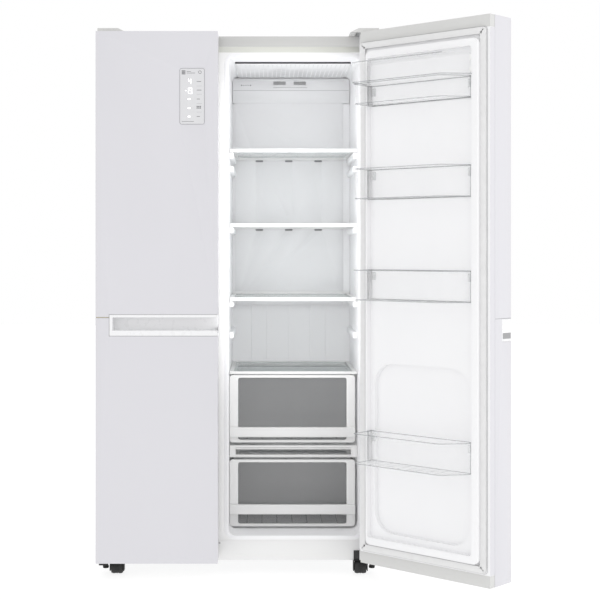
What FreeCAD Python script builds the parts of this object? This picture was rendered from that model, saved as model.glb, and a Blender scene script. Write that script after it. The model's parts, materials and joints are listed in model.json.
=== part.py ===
import FreeCAD, Part
import math
import os
import re
import Sketcher

# A side by side refrigerator. Millimetres, +Z up, origin on the floor under the middle of the cabinet,
# +X to the right seen from the front, the front towards -Y. The fridge door stands open by open_angle.

SIZES = {
    # cabinet
    "cab_width": 912,
    "cab_depth": 618,
    "cab_top": 1767,
    "wheel_radius": 21,
    "wheel_clear": 2,
    "cab_base": "=wheel_radius * 2 + wheel_clear",
    "skin": 1.2,
    "flange_band": 34,
    "flange_side": 30,
    "flange_trim": 2,
    "liner_lip": 14,
    "liner_wall": 2,
    "split_x": -63,
    "mullion": 58,
    "side_wall": 58,
    "head_wall": 68,
    "floor_wall": 80.5,
    "opening_top": "=cab_top - head_wall",
    "opening_base": "=cab_base + floor_wall",
    "opening_corner": 22,
    "inner_depth": 529,
    "machine_depth": 179,
    "machine_height": 256,
    "step_wall": 35,
    "kick_height": 64,
    "louvre_pitch": 150,
    "louvre_long": 100,
    "louvre_tall": 8,
    "louvre_step": 22,
    "louvre_lift": 60,
    # doors
    "door_thick": 112,
    "door_back_gap": 8,
    "door_gap": 4,
    "door_lift": 16,
    "door_drop": 2,
    "door_base": "=cab_base + door_lift",
    "door_top": "=cab_top - door_drop",
    "hinge_inset": 25,
    "hinge_back": 58,
    "open_angle": 137,
    "stile_notch": 24,
    "cap_top": 38,
    "cap_base": 37,
    "door_wall": 2,
    "dyke_free": "=mullion / 2 - door_gap / 2 + 6",
    "dyke_rail": 22,
    "dyke_hinge": "=side_wall - hinge_inset + 2",
    "dyke_stile": 6,
    "dyke_rise": 20,
    "dyke_clear": 3.5,
    "gasket_wide": 21,
    "gasket_free": 12,
    "gasket_stile": 3,
    "gasket_top": 37,
    "gasket_base": 42,
    "seal_gap": 0.3,
    # handle recess, seam and display
    "handle_base": 789,
    "handle_top": 857,
    "handle_edge": 44,
    "handle_lip": 17,
    "handle_brow": 9,
    "handle_cheek": 9.6,
    "handle_proud": 0.8,
    "handle_deep": 50,
    "pocket_deep": 45,
    "seam_base": 846.5,
    "seam_height": 3,
    "panel_edge": 42,
    "panel_wide": 80,
    "panel_base": 1466,
    "panel_tall": 180,
    "panel_corner": 7,
    "panel_proud": 0.6,
    "panel_thick": 4,
    "board_thick": 1.6,
    # door bins and dairy compartment
    "bin_hinge": "=dyke_hinge + 8",
    "bin_free": "=dyke_free + 24",
    "bin_deep": 97,
    "bin_bevel": 59,
    "bin_cheek": 20,
    "bin_wall": 2.2,
    "bin_high_base": 1223,
    "bin_mid_base": 905,
    "bin_low_base": 392,
    "bin_tall": 97,
    "dairy_drop": 245,
    "dairy_base": "=door_top - dairy_drop",
    "dairy_front": 66,
    "dairy_tall": 134,
    "lid_gap": 1.5,
    "lid_back": 6,
    "lid_pin_radius": 2,
    "lid_pin_long": 5,
    "lid_pin_out": 10,
    "lid_pin_drop": 4,
    "recess_base": 168,
    "recess_top": 705,
    "recess_deep": 16,
    "recess_corner": 70,
    "recess_margin": 16,
    # shelves and crispers
    "inset_front": 109,
    "side_clear": 1.5,
    "shelf_trim": 12,
    "shelf_bar": 14,
    "shelf_lip": 8,
    "glass": 4,
    "lower_lift": 7.5,
    "lower_tall": 225,
    "divider_gap": 8,
    "divider_tall": 40,
    "upper_gap": 10,
    "upper_tall": 227,
    "cover_gap": 12,
    "cover_rim": 9,
    "shelf_step": 250,
    "lower_base": "=opening_base + lower_lift",
    "lower_top": "=lower_base + lower_tall",
    "divider_base": "=lower_top + divider_gap",
    "divider_top": "=divider_base + divider_tall",
    "upper_base": "=divider_top + upper_gap",
    "upper_top": "=upper_base + upper_tall",
    "cover_level": "=upper_top + cover_gap",
    "shelf_low": "=cover_level + shelf_step",
    "shelf_mid": "=shelf_low + shelf_step",
    "shelf_high": "=shelf_mid + shelf_step + 2",
    "lower_bar": "=lower_base + 42",
    "upper_bar": "=upper_base + 19",
    "bar_tall": 33,
    "bar_deep": 16,
    "drawer_right_clear": 8.5,
    "drawer_wall": 2.5,
    "drawer_frame": 28,
    "drawer_front": 12,
    "front_corner": 10,
    # air ducts and lamp
    "duct_gap": 25,
    "duct_wall": 2.5,
    "duct_left": 9,
    "duct_right": 26,
    "duct_base": "=shelf_low - 40",
    "duct_top": "=opening_top - 97",
    "top_duct_front": 35,
    "top_duct_base": "=opening_top - 67",
    "outlet_left": 151,
    "outlet_step": 74,
    "outlet_long": 45,
    "outlet_tall": 12,
    "outlet_drop": 18,
    "vent_tall": 7,
    "vent_long": 28,
    "vent_step": 108,
    "cold_vent_long": 60,
    "cold_vent_step": 80,
    "cold_duct_drop": 120,
    "lamp_start": 120,
    "lamp_long": 360,
    "lamp_side": 22,
    "lamp_thick": 6,
    "strip_long": 220,
    "strip_wide": 18,
    # hinges
    "pin_radius": 5,
    "pin_fit": 0.05,
    "pin_deep": 27,
    "plate": 3,
    "hinge_plate_long": 160,
    "hinge_plate_wide": 66,
    "cover_rise": 14,
    "cover_slope": 28,
    "base_pin_radius": 6,
    "bush_radius": 9,
    "run_gap": 0.3,
    # wheels and feet
    "wheel_x": "=cab_width / 2 - 56",
    "wheel_y": 4,
    "fork_long": 26,
    "wheel_wide": 40,
    "wheel_round": 8,
    "axle_radius": 4,
    "cheek": 3,
    "roller_y": 29,
    "roller_radius": 17,
    "roller_wide": 24,
    "roller_fork": 20,
    "foot_x": "=cab_width / 2 - 17",
    "foot_inset": 16,
    "foot_radius": 10,
    "foot_clear": 15,
    "foot_tall": 12,
    "thread_radius": 4,
    # cooling machinery
    "coil_deep": 45,
    "tube_radius": 4,
    "fin_thick": 2,
    "fin_over": 10,
    "evaporator_base": "=cab_base + machine_height + 120",
    "evaporator_tall": 220,
    "condenser_left": 60,
    "condenser_right": 400,
    "condenser_lift": 40,
    "condenser_tall": 140,
    "pan_tall": 36,
    "pan_wall": 3,
    "pan_over": 10,
    "cold_fan_z": "=evaporator_base + 340",
    "hot_fan_x": -60,
    "hot_fan_lift": 82,
    "fan_frame_deep": 24,
    "fan_radius": 58,
    "hub_radius": 16,
    "hub_long": 18,
    "blade_thick": 1.6,
    "blade_chord": 30,
    "motor_radius": 22,
    "shaft_radius": 3,
    "compressor_x": -270,
    "compressor_radius": 72,
    "compressor_tall": 165,
    "foot_plate_long": 190,
    "foot_plate_wide": 120,
    "bush_step_x": 82,
    "bush_step_y": 48,
    "case_left": 100,
    "case_right": 340,
    "case_deep": 40,
    "case_wall": 3,
    "inlet_x": -400,
    "inlet_radius": 11,
    "inlet_bore": 4.5,
    "inlet_proud": 10,
    "bush_tall": 12,
    "screw_head": 4.5,
    "head_tall": 2.2,
}

FRONT = "(-cab_depth / 2)"
BACK = "(cab_depth / 2)"
HALF = "(cab_width / 2)"
FRIDGE = ("(split_x + mullion / 2)", "(cab_width / 2 - side_wall)")
FREEZER = ("(side_wall - cab_width / 2)", "(split_x - mullion / 2)")
INNER_BACK = "(inner_depth - cab_depth / 2)"
MACHINE_FRONT = "(cab_depth / 2 - machine_depth)"
MACHINE_TOP = "(cab_base + machine_height)"
SHELF_FRONT = "(inset_front - cab_depth / 2)"
DUCT_FACE = "(inner_depth - cab_depth / 2 - duct_gap)"
HINGE_X = "(cab_width / 2 - hinge_inset)"
HINGE_Y = "(hinge_back - cab_depth / 2 - door_back_gap - door_thick)"
FREE_EDGE = {
    "fridge": "(cab_width / 2 - hinge_inset - split_x - door_gap / 2)",
    "freezer": "(cab_width / 2 - hinge_inset + split_x - door_gap / 2)",
}
DOOR_FRONT = "(-hinge_back)"
DOOR_INNER = "(door_thick - hinge_back)"
STILE = "(-hinge_inset)"
LINING = ("(door_base + cap_base)", "(door_top - cap_top)")
COLD_DUCT_DEEP = "(coil_deep + 25)"
BASE_TOP = "(cab_base + flange_trim)"
CASE_Z = ("(cab_top - 260)", "(cab_top - 80)")

doc = FreeCAD.newDocument("SideBySideRefrigerator")
nodes = []


def fill_sheet():
    """Write the driving dimensions into the spreadsheet; a value after = follows from the others."""
    sheet = doc.addObject("Spreadsheet::Sheet", "Sizes")
    for row, (alias, value) in enumerate(SIZES.items(), 1):
        sheet.set(f"A{row}", alias)
        sheet.set(f"B{row}", str(value))
        sheet.setAlias(f"B{row}", alias)
    doc.recompute()


def bind(item, prop, formula):
    """Bind a property to a formula of the sheet's aliases."""
    words = re.sub(r"[a-z_]+", lambda word: f"Sizes.{word[0]}" if word[0] in SIZES else word[0], formula)
    item.setExpression(prop, words)


def less(formula, amount):
    return f"({formula} - ({amount}))"


def more(formula, amount):
    return f"({formula} + ({amount}))"


def inside(span, amount):
    return more(span[0], amount), less(span[1], amount)


def outside(span, amount):
    return less(span[0], amount), more(span[1], amount)


def centred(middle, size):
    return f"({middle} - {size} / 2)", f"({middle} + {size} / 2)"


def middle_of(span):
    return f"(({span[0]} + {span[1]}) / 2)"


def box(x, y, z):
    """A block between the low and high formulas of each axis."""
    item = doc.addObject("Part::Box", "Block")
    for letter, size, span in zip("xyz", ("Length", "Width", "Height"), (x, y, z)):
        bind(item, size, f"({span[1]}) - ({span[0]})")
        bind(item, f"Placement.Base.{letter}", span[0])
    return item


def rod(axis, x, y, z, radius):
    """A round bar along axis: that axis gives its two ends, the others its centre."""
    item = doc.addObject("Part::Cylinder", "Rod")
    turns = {"X": FreeCAD.Rotation(0, 90, 0), "Y": FreeCAD.Rotation(0, 0, -90), "Z": FreeCAD.Rotation()}
    item.Placement = FreeCAD.Placement(FreeCAD.Vector(), turns[axis])
    ends = {"X": x, "Y": y, "Z": z}
    bind(item, "Radius", radius)
    bind(item, "Height", f"({ends[axis][1]}) - ({ends[axis][0]})")
    for letter, place in ends.items():
        low = place[0] if letter == axis else place
        bind(item, f"Placement.Base.{letter.lower()}", low)
    return item


def origin_plane(body, axis):
    role = {"X": "YZ_Plane", "Y": "XZ_Plane", "Z": "XY_Plane"}[axis]
    return next(item for item in body.Origin.OriginFeatures if item.Role == role)


def sketch_on(body, axis, centre, level):
    """A sketch across axis at a level, with its origin at centre."""
    sketch = body.newObject("Sketcher::SketchObject", "Outline")
    sketch.AttachmentSupport = (origin_plane(body, axis), [""])
    sketch.MapMode = "FlatFace"
    bind(sketch, "AttachmentOffset.Base.x", centre[0])
    bind(sketch, "AttachmentOffset.Base.y", centre[1])
    bind(sketch, "AttachmentOffset.Base.z", f"-({level})" if axis == "Y" else level)
    return sketch


def rule(sketch, formula, *constraint):
    """Add one dimension to a sketch and bind it."""
    index = sketch.addConstraint(Sketcher.Constraint(*constraint))
    bind(sketch, f"Constraints[{index}]", formula)


def rounded_outline(sketch, wide, tall, radius):
    """A rectangle with round corners about the sketch's origin."""
    lines = []
    arcs = []
    for quarter in range(4):
        turn = quarter * math.pi / 2
        ends = [FreeCAD.Vector(x * math.cos(turn) + 50 * math.sin(turn),
                               x * math.sin(turn) - 50 * math.cos(turn), 0) for x in (-40, 40)]
        centre = FreeCAD.Vector(40 * math.cos(turn) + 40 * math.sin(turn),
                                40 * math.sin(turn) - 40 * math.cos(turn), 0)
        circle = Part.Circle(centre, FreeCAD.Vector(0, 0, 1), 10)
        lines.append(sketch.addGeometry(Part.LineSegment(*ends)))
        arcs.append(sketch.addGeometry(Part.ArcOfCircle(circle, turn - math.pi / 2, turn)))
    for corner in range(4):
        following = lines[(corner + 1) % 4]
        sketch.addConstraint(Sketcher.Constraint("Tangent", lines[corner], 2, arcs[corner], 1))
        sketch.addConstraint(Sketcher.Constraint("Tangent", arcs[corner], 2, following, 1))
    for number, kind in enumerate(("Horizontal", "Vertical", "Horizontal", "Vertical")):
        sketch.addConstraint(Sketcher.Constraint(kind, lines[number]))
    for arc in arcs[1:]:
        sketch.addConstraint(Sketcher.Constraint("Equal", arcs[0], arc))
    sketch.addConstraint(Sketcher.Constraint("Symmetric", arcs[0], 3, arcs[2], 3, -1, 1))
    rule(sketch, wide, "DistanceX", lines[3], 1, lines[1], 1, 100)
    rule(sketch, tall, "DistanceY", lines[0], 1, lines[2], 1, 100)
    rule(sketch, radius, "Radius", arcs[0], 10)


def cornered_outline(sketch, points):
    """A closed outline through points given as pairs of formulas."""
    count = len(points)
    start = [FreeCAD.Vector(math.cos(2 * math.pi * n / count), math.sin(2 * math.pi * n / count), 0)
             for n in range(count)]
    for n in range(count):
        sketch.addGeometry(Part.LineSegment(start[n], start[(n + 1) % count]))
    for n in range(count):
        sketch.addConstraint(Sketcher.Constraint("Coincident", n, 2, (n + 1) % count, 1))
    for n, (across, along) in enumerate(points):
        rule(sketch, across, "DistanceX", -1, 1, n, 1, start[n].x)
        rule(sketch, along, "DistanceY", -1, 1, n, 1, start[n].y)


def pad(body, sketch, span):
    feature = body.newObject("PartDesign::Pad", "Pad")
    feature.Profile = sketch
    bind(feature, "Length", f"({span[1]}) - ({span[0]})")
    sketch.Visibility = False
    return feature


def slab(axis, x, y, z, radius):
    """A block whose four edges along axis are rounded."""
    body = doc.addObject("PartDesign::Body", "Slab")
    spans = {"X": (y, z, x), "Y": (x, z, y), "Z": (x, y, z)}[axis]
    centre = [f"(({low}) + ({high})) / 2" for low, high in spans[:2]]
    level = spans[2][1] if axis == "Y" else spans[2][0]
    sketch = sketch_on(body, axis, centre, level)
    rounded_outline(sketch, *[f"({high}) - ({low})" for low, high in spans[:2]], radius)
    pad(body, sketch, spans[2])
    return body


def prism(axis, points, span):
    """A bar along axis with the outline through points."""
    body = doc.addObject("PartDesign::Body", "Prism")
    sketch = sketch_on(body, axis, ("0", "0"), span[1] if axis == "Y" else span[0])
    cornered_outline(sketch, points)
    pad(body, sketch, span)
    return body


def tyre(x, y, z, bore, radius, round_off):
    """A wheel about X between the ends x, with a bore and rounded shoulders."""
    body = doc.addObject("PartDesign::Body", "Tyre")
    sketch = sketch_on(body, "Y", (f"({bore} + {radius}) / 2", "0"), "0")
    rounded_outline(sketch, f"{radius} - {bore}", f"{x[1]} - {x[0]}", round_off)
    turned = body.newObject("PartDesign::Revolution", "Turned")
    turned.Profile = sketch
    turned.ReferenceAxis = (next(i for i in body.Origin.OriginFeatures if i.Role == "Z_Axis"), [""])
    turned.Angle = 360
    body.Placement = FreeCAD.Placement(FreeCAD.Vector(), FreeCAD.Rotation(0, 90, 0))
    for letter, place in zip("xyz", (f"(({x[0]}) + ({x[1]})) / 2", y, z)):
        bind(body, f"Placement.Base.{letter}", place)
    return body


def joined(parts):
    if len(parts) == 1:
        return parts[0]
    item = doc.addObject("Part::MultiFuse", "Joined")
    item.Shapes = parts
    return item


def cut(base, tools):
    item = doc.addObject("Part::Cut", "Cut")
    item.Base = base
    item.Tool = joined(tools)
    return item


def shared(first, second):
    item = doc.addObject("Part::Common", "Shared")
    item.Base = first
    item.Tool = second
    return item


def group(parts):
    """Separate solids that share one node."""
    item = doc.addObject("Part::Compound", "Group")
    item.Links = parts
    return item


def node(label, item):
    """Name a finished sub-part."""
    item.Label = label
    nodes.append(item)


def both_sides(make):
    """The pieces that make(span) gives for spans of X on the right and, mirrored, on the left."""
    right = make(lambda low, high: (low, high))
    left = make(lambda low, high: (f"-({high})", f"-({low})"))
    return right + left


# --- cabinet ---------------------------------------------------------------------------------------

def cabinet_shell():
    """The wrap of painted sheet steel: both sides, the top and the front flange."""
    outer = box((f"-{HALF}", HALF), (FRONT, BACK), ("cab_base", "cab_top"))
    hollow = box(inside((f"-{HALF}", HALF), "skin"), (more(FRONT, "skin"), more(BACK, 1)),
                 ("cab_base - 1", "cab_top - skin"))
    window = box(inside((f"-{HALF}", HALF), "flange_side"), (less(FRONT, 1), more(FRONT, "skin + 1")),
                 ("cab_base - 1", "cab_top - flange_band"))
    node("cabinet_shell", cut(outer, [hollow, window]))


def back_panel():
    """The flat steel sheet that closes the back above the machine compartment."""
    sheet = box(inside((f"-{HALF}", HALF), "skin"), (less(BACK, "skin"), BACK),
                (MACHINE_TOP, "cab_top - skin"))
    node("cabinet_back_panel", sheet)


def liner_outer(x):
    """The outside of a moulded liner, with the step over the machine compartment."""
    z = ("(opening_base - liner_wall)", "(opening_top + liner_wall)")
    tub = slab("Y", outside(x, "liner_wall"), (FRONT, more(INNER_BACK, "liner_wall")), z,
               "opening_corner + liner_wall")
    step = box(outside(x, "liner_wall + 1"), (less(MACHINE_FRONT, "step_wall"), BACK),
               ("opening_base - 50", more(MACHINE_TOP, "step_wall")))
    return cut(tub, [step])


def liner_inner(x):
    """The hollow of a moulded liner."""
    tub = slab("Y", x, (less(FRONT, 5), INNER_BACK), ("opening_base", "opening_top"), "opening_corner")
    step = box(outside(x, 1), (less(MACHINE_FRONT, "step_wall + liner_wall"), BACK),
               ("opening_base - 50", more(MACHINE_TOP, "step_wall + liner_wall")))
    return cut(tub, [step])


def lip_outline(x, y, clear):
    return slab("Y", outside(x, f"liner_lip + {clear}"), y,
                (f"(opening_base - liner_lip - {clear})", f"(opening_top + liner_lip + {clear})"),
                "opening_corner + liner_lip")


def liners():
    """The two liners, each with a lip round its opening."""
    outers = []
    for label, x in (("fridge_liner", FRIDGE), ("freezer_liner", FREEZER)):
        outer = liner_outer(x)
        lip = lip_outline(x, (FRONT, more(FRONT, "flange_trim")), 0)
        node(label, cut(joined([outer, lip]), [liner_inner(x)]))
        outers.append(outer)
    return outers


def front_frame():
    """The strip between the steel flange and the liner lips, with the mullion face."""
    y = (FRONT, more(FRONT, "flange_trim"))
    plate = box(inside((f"-{HALF}", HALF), "flange_side"), y,
                ("cab_base + kick_height", "cab_top - flange_band"))
    holes = [lip_outline(x, outside(y, 1), 0) for x in (FRIDGE, FREEZER)]
    node("front_frame", cut(plate, holes))


def kick_panel():
    """The white panel under the doors."""
    x = inside((f"-{HALF}", HALF), "flange_side")
    face = box(x, (FRONT, more(FRONT, "flange_trim")), ("cab_base", "cab_base + kick_height"))
    node("kick_panel", face)


def base_plate():
    """The steel floor that carries the machinery, the wheels and the feet."""
    sheet = box(inside((f"-{HALF}", HALF), "skin"), (more(FRONT, "flange_trim"), less(BACK, "flange_trim")),
                ("cab_base", BASE_TOP))
    holes = [rod("Z", x, foot_y(), ("cab_base - 1", more(BASE_TOP, 1)), "thread_radius + run_gap")
             for x in ("foot_x", "-foot_x")]
    node("base_plate", cut(sheet, holes))


def foam(outers):
    """The insulation between the shell and the liners."""
    y = (more(FRONT, "flange_trim"), less(BACK, "skin"))
    block = box(inside((f"-{HALF}", HALF), "skin"), y, (BASE_TOP, "cab_top - skin"))
    machine = box(inside((f"-{HALF}", HALF), "skin - 1"), (MACHINE_FRONT, more(BACK, 1)),
                  ("cab_base", MACHINE_TOP))
    threads = [rod("Z", x, foot_y(), ("cab_base", "cab_base + kick_height - 4"), "thread_radius + run_gap")
               for x in ("foot_x", "-foot_x")]
    node("cabinet_foam", cut(block, outers + [machine, control_case()] + threads))


def machine_cover():
    """The slotted cover over the machine compartment."""
    y = inside((less(BACK, "skin * 2"), BACK), "skin / 2")
    plate = box(inside((f"-{HALF}", HALF), "skin + 1"), y,
                (BASE_TOP, less(MACHINE_TOP, 1)))
    starts = [f"(cab_base + louvre_lift + {row} * louvre_step)" for row in range(7)]
    slots = [slab("Y", centred(f"({column} * louvre_pitch)", "louvre_long"), outside(y, 1),
                  (start, more(start, "louvre_tall")), "louvre_tall / 2 - 0.5")
             for column in (-2, -1, 0, 1, 2) for start in starts]
    node("machine_cover", cut(plate, slots))


# --- air ducts and lamp ----------------------------------------------------------------------------

def fridge_air_duct():
    """The back panel with the rows of air slots."""
    x = (more(FRIDGE[0], "duct_left"), less(FRIDGE[1], "duct_right"))
    z = ("duct_base", "duct_top")
    shell = cut(box(x, (DUCT_FACE, INNER_BACK), z),
                [box(inside(x, "duct_wall"), (more(DUCT_FACE, "duct_wall"), more(INNER_BACK, 1)),
                     inside(z, "duct_wall"))])
    face = (less(DUCT_FACE, 1), more(DUCT_FACE, "duct_wall + 1"))
    slots = [slab("Y", centred(f"({middle_of(x)} + {side} * vent_step)", "vent_long"), face,
                  centred(f"({shelf} - 16)", "vent_tall"), "vent_tall / 2 - 0.1")
             for shelf in ("shelf_high", "shelf_mid") for side in (-1, 0, 1)]
    node("fridge_air_duct", cut(shell, slots))


def fridge_top_duct():
    """The box across the top of the back wall, with two air outlets and a sloping underside."""
    front = less(INNER_BACK, "top_duct_front")
    points = [(front, "(opening_top - lamp_thick)"), (INNER_BACK, "(opening_top - lamp_thick)"),
              (INNER_BACK, "duct_top"), (DUCT_FACE, "duct_top"), (front, "top_duct_base")]
    bar = prism("X", points, inside(FRIDGE, "side_clear"))
    core = [(more(front, "duct_wall"), "(opening_top - lamp_thick - duct_wall)"),
            (more(INNER_BACK, 1), "(opening_top - lamp_thick - duct_wall)"),
            (more(INNER_BACK, 1), "(duct_top + duct_wall)"),
            (more(DUCT_FACE, "duct_wall"), "(duct_top + duct_wall)"),
            (more(front, "duct_wall"), "(top_duct_base + duct_wall)")]
    hollow = prism("X", core, inside(FRIDGE, "opening_corner"))
    face = (less(front, 1), more(front, "duct_wall + 1"))
    z = ("(opening_top - outlet_drop - outlet_tall)", "(opening_top - outlet_drop)")
    lefts = [more(FRIDGE[0], f"outlet_left + {number} * outlet_step") for number in (0, 1)]
    outlets = [box((left, more(left, "outlet_long")), face, z) for left in lefts]
    node("fridge_top_duct", cut(shared(bar, liner_inner(FRIDGE)), [hollow] + outlets))


def lamp():
    """The lamp lens under the ceiling; it gives back the strip of lights above it."""
    x = inside(FRIDGE, "lamp_side")
    y = (more(FRONT, "lamp_start"), more(FRONT, "lamp_start + lamp_long"))
    z = ("(opening_top - lamp_thick)", "opening_top")
    hollow = box(inside(x, "duct_wall"), inside(y, "duct_wall"), (more(z[0], "duct_wall"), more(z[1], 1)))
    node("lamp_lens", cut(slab("Z", x, y, z, "10"), [hollow]))
    return box(centred(middle_of(x), "strip_long"), centred(more(y[0], "lamp_long / 6"), "strip_wide"),
               (less("opening_top", "board_thick"), "opening_top"))


def freezer_air_duct():
    """The cover over the evaporator at the back of the freezer."""
    x = inside(FREEZER, "side_clear")
    z = (more(MACHINE_TOP, "step_wall + 10"), "(opening_top - cold_duct_drop)")
    front = less(INNER_BACK, COLD_DUCT_DEEP)
    shell = cut(box(x, (front, INNER_BACK), z),
                [box(inside(x, "duct_wall"), (more(front, "duct_wall"), more(INNER_BACK, 1)),
                     inside(z, "duct_wall"))])
    face = (less(front, 1), more(front, "duct_wall + 1"))
    slots = [slab("Y", centred(f"({middle_of(x)} + {side} * cold_vent_step)", "cold_vent_long"), face,
                  centred(f"({z[0]} + ({z[1]} - {z[0]}) * {share})", "vent_tall"), "vent_tall / 2 - 0.1")
             for share in (0.06, 0.29, 0.53, 0.77, 0.94) for side in (-1, 1)]
    node("freezer_air_duct", cut(shell, slots))


# --- cooling machinery -----------------------------------------------------------------------------

def coil(x, y, z, rows, fins):
    """A finned block: plates across X threaded by straight tubes."""
    step = f"(({x[1]} - {x[0]} - fin_thick) / {fins - 1})"
    starts = [f"({x[0]} + {n} * {step})" for n in range(fins)]
    plates = [box((start, more(start, "fin_thick")), y, z) for start in starts]
    pitch = f"(({z[1]}) - ({z[0]})) / {rows}"
    tubes = [rod("X", x, centre, f"({z[0]} + ({row} + 0.5) * {pitch})", "tube_radius")
             for row in range(rows) for centre in inside(y, "fin_over")]
    return joined(plates + tubes)


def evaporator():
    y = (less(INNER_BACK, "coil_deep + 5"), less(INNER_BACK, 5))
    x = inside(FREEZER, 30)
    node("evaporator", coil(x, y, ("evaporator_base", "(evaporator_base + evaporator_tall)"), 4, 9))


def condenser():
    y = (more(MACHINE_FRONT, 20), less(BACK, 60))
    z = ("(cab_base + condenser_lift)", "(cab_base + condenser_lift + condenser_tall)")
    node("condenser", coil(("condenser_left", "condenser_right"), y, z, 3, 11))


def drain_pan():
    """The tray that catches the defrost water, under the condenser."""
    x = outside(("condenser_left", "condenser_right"), "pan_over")
    y = (more(MACHINE_FRONT, 8), less(BACK, 30))
    z = (BASE_TOP, more(BASE_TOP, "pan_tall"))
    hollow = box(inside(x, "pan_wall"), inside(y, "pan_wall"), (more(z[0], "pan_wall"), more(z[1], 1)))
    node("drain_pan", cut(box(x, y, z), [hollow]))


def compressor():
    """The welded steel dome on its foot plate, and the four rubber bushes under it."""
    x = "compressor_x"
    y = middle_of((MACHINE_FRONT, BACK))
    foot = more(BASE_TOP, "bush_tall")
    plate = slab("Z", centred(x, "foot_plate_long"), centred(y, "foot_plate_wide"),
                 (foot, more(foot, "plate")), "12")
    dome = slab("Z", centred(x, "compressor_radius * 2"), centred(y, "compressor_radius * 2"),
                (more(foot, "plate"), more(foot, "compressor_tall")), "compressor_radius - 4")
    terminal = box((more(x, 40), more(x, "foot_plate_long / 2")), centred(y, 44),
                   (more(foot, 60), more(foot, 110)))
    pipe = rod("Z", more(x, -40), y, (more(foot, 100), more(foot, "compressor_tall + 20")), "tube_radius")
    node("compressor", joined([plate, dome, terminal, pipe]))
    bushes = [rod("Z", f"({x} + {a} * bush_step_x)", f"({y} + {b} * bush_step_y)", (BASE_TOP, foot), "10")
              for a in (-1, 1) for b in (-1, 1)]
    node("compressor_bushes", group(bushes))


def blades(x, y, z, turn):
    """A fan rotor with five pitched blades round a bored hub."""
    body = doc.addObject("PartDesign::Body", "Rotor")
    hub = sketch_on(body, "Z", ("0", "0"), "(-hub_long / 2)")
    for radius in ("hub_radius", "shaft_radius + pin_fit"):
        ring = hub.addGeometry(Part.Circle(FreeCAD.Vector(), FreeCAD.Vector(0, 0, 1), 5 + len(radius)))
        hub.addConstraint(Sketcher.Constraint("Coincident", ring, 3, -1, 1))
        rule(hub, radius, "Radius", ring, 5 + len(radius))
    pad(body, hub, ("0", "hub_long"))
    outline = sketch_on(body, "Z", ("(hub_radius + fan_radius) / 2 - 1", "0"), "0")
    outline.AttachmentOffset = FreeCAD.Placement(FreeCAD.Vector(), FreeCAD.Rotation(0, 0, 30))
    rounded_outline(outline, "fan_radius - hub_radius", "blade_chord", "8")
    blade = pad(body, outline, ("0", "blade_thick"))
    blade.Midplane = True
    pattern = body.newObject("PartDesign::PolarPattern", "Ring")
    pattern.Originals = [blade]
    pattern.Axis = (next(i for i in body.Origin.OriginFeatures if i.Role == "Z_Axis"), [""])
    pattern.Angle = 360
    pattern.Occurrences = 5
    body.Tip = pattern
    body.Placement = FreeCAD.Placement(FreeCAD.Vector(), turn)
    for letter, place in zip("xyz", (x, y, z)):
        bind(body, f"Placement.Base.{letter}", place)
    return body


def evaporator_fan():
    """The fan that drives cold air up the duct; it gives back its motor frame."""
    x = middle_of(FREEZER)
    y = less(INNER_BACK, 30)
    z = "cold_fan_z"
    wide = outside((x, x), "fan_radius + 12")
    frame = cut(box(wide, centred(y, "fan_frame_deep"), outside((z, z), "fan_radius + 12")),
                [rod("Y", x, centred(y, "(fan_frame_deep + 2)"), z, "fan_radius + 3")])
    motor = rod("Y", x, (more(y, "hub_long / 2 + 2"), more(y, 26)), z, "motor_radius")
    shaft = rod("Y", x, (less(y, "hub_long / 2"), more(y, 14)), z, "shaft_radius")
    spider = box(wide, (more(y, "fan_frame_deep / 2"), more(y, 20)), centred(z, 10))
    node("evaporator_fan", blades(x, y, z, FreeCAD.Rotation(0, 0, -90)))
    return joined([frame, motor, shaft, spider])


def condenser_fan():
    """The fan between the compressor and the condenser; it gives back its motor frame."""
    x = "hot_fan_x"
    y = middle_of((MACHINE_FRONT, BACK))
    z = "(cab_base + hot_fan_lift)"
    wide = outside((y, y), "fan_radius + 12")
    frame = cut(box(centred(x, "fan_frame_deep"), wide, (BASE_TOP, more(z, "fan_radius + 12"))),
                [rod("X", centred(x, "(fan_frame_deep + 2)"), y, z, "fan_radius + 3")])
    motor = rod("X", (more(x, "hub_long / 2 + 2"), more(x, 40)), y, z, "motor_radius")
    shaft = rod("X", (less(x, "hub_long / 2"), more(x, 14)), y, z, "shaft_radius")
    spider = box((more(x, "fan_frame_deep / 2"), more(x, 20)), wide, centred(z, 10))
    node("condenser_fan", blades(x, y, z, FreeCAD.Rotation(0, 90, 0)))
    return joined([frame, motor, shaft, spider])


def control_case():
    return box(("case_left", "case_right"), case_y(), CASE_Z)


def case_y():
    return less(BACK, "skin + case_deep"), less(BACK, "skin")


def electrics(lamp_strip):
    """The control box in the back of the cabinet, the circuit boards, and the power inlet."""
    x = ("case_left", "case_right")
    y = case_y()
    room = box(inside(x, "case_wall"), inside(y, "case_wall"), inside(CASE_Z, "case_wall"))
    node("control_box", cut(control_case(), [room]))
    board = box(inside(x, 10), (more(y[0], "case_wall"), more(y[0], "case_wall + board_thick")),
                inside(CASE_Z, 10))
    node("circuit_boards", group([board, lamp_strip]))
    z = "(cab_base + 180)"
    ends = (less(BACK, "skin / 2"), more(BACK, "inlet_proud"))
    gland = rod("Y", "inlet_x", ends, z, "inlet_radius")
    node("power_inlet", cut(gland, [rod("Y", "inlet_x", outside(ends, 1), z, "inlet_bore")]))


# --- shelves and crispers --------------------------------------------------------------------------

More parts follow.
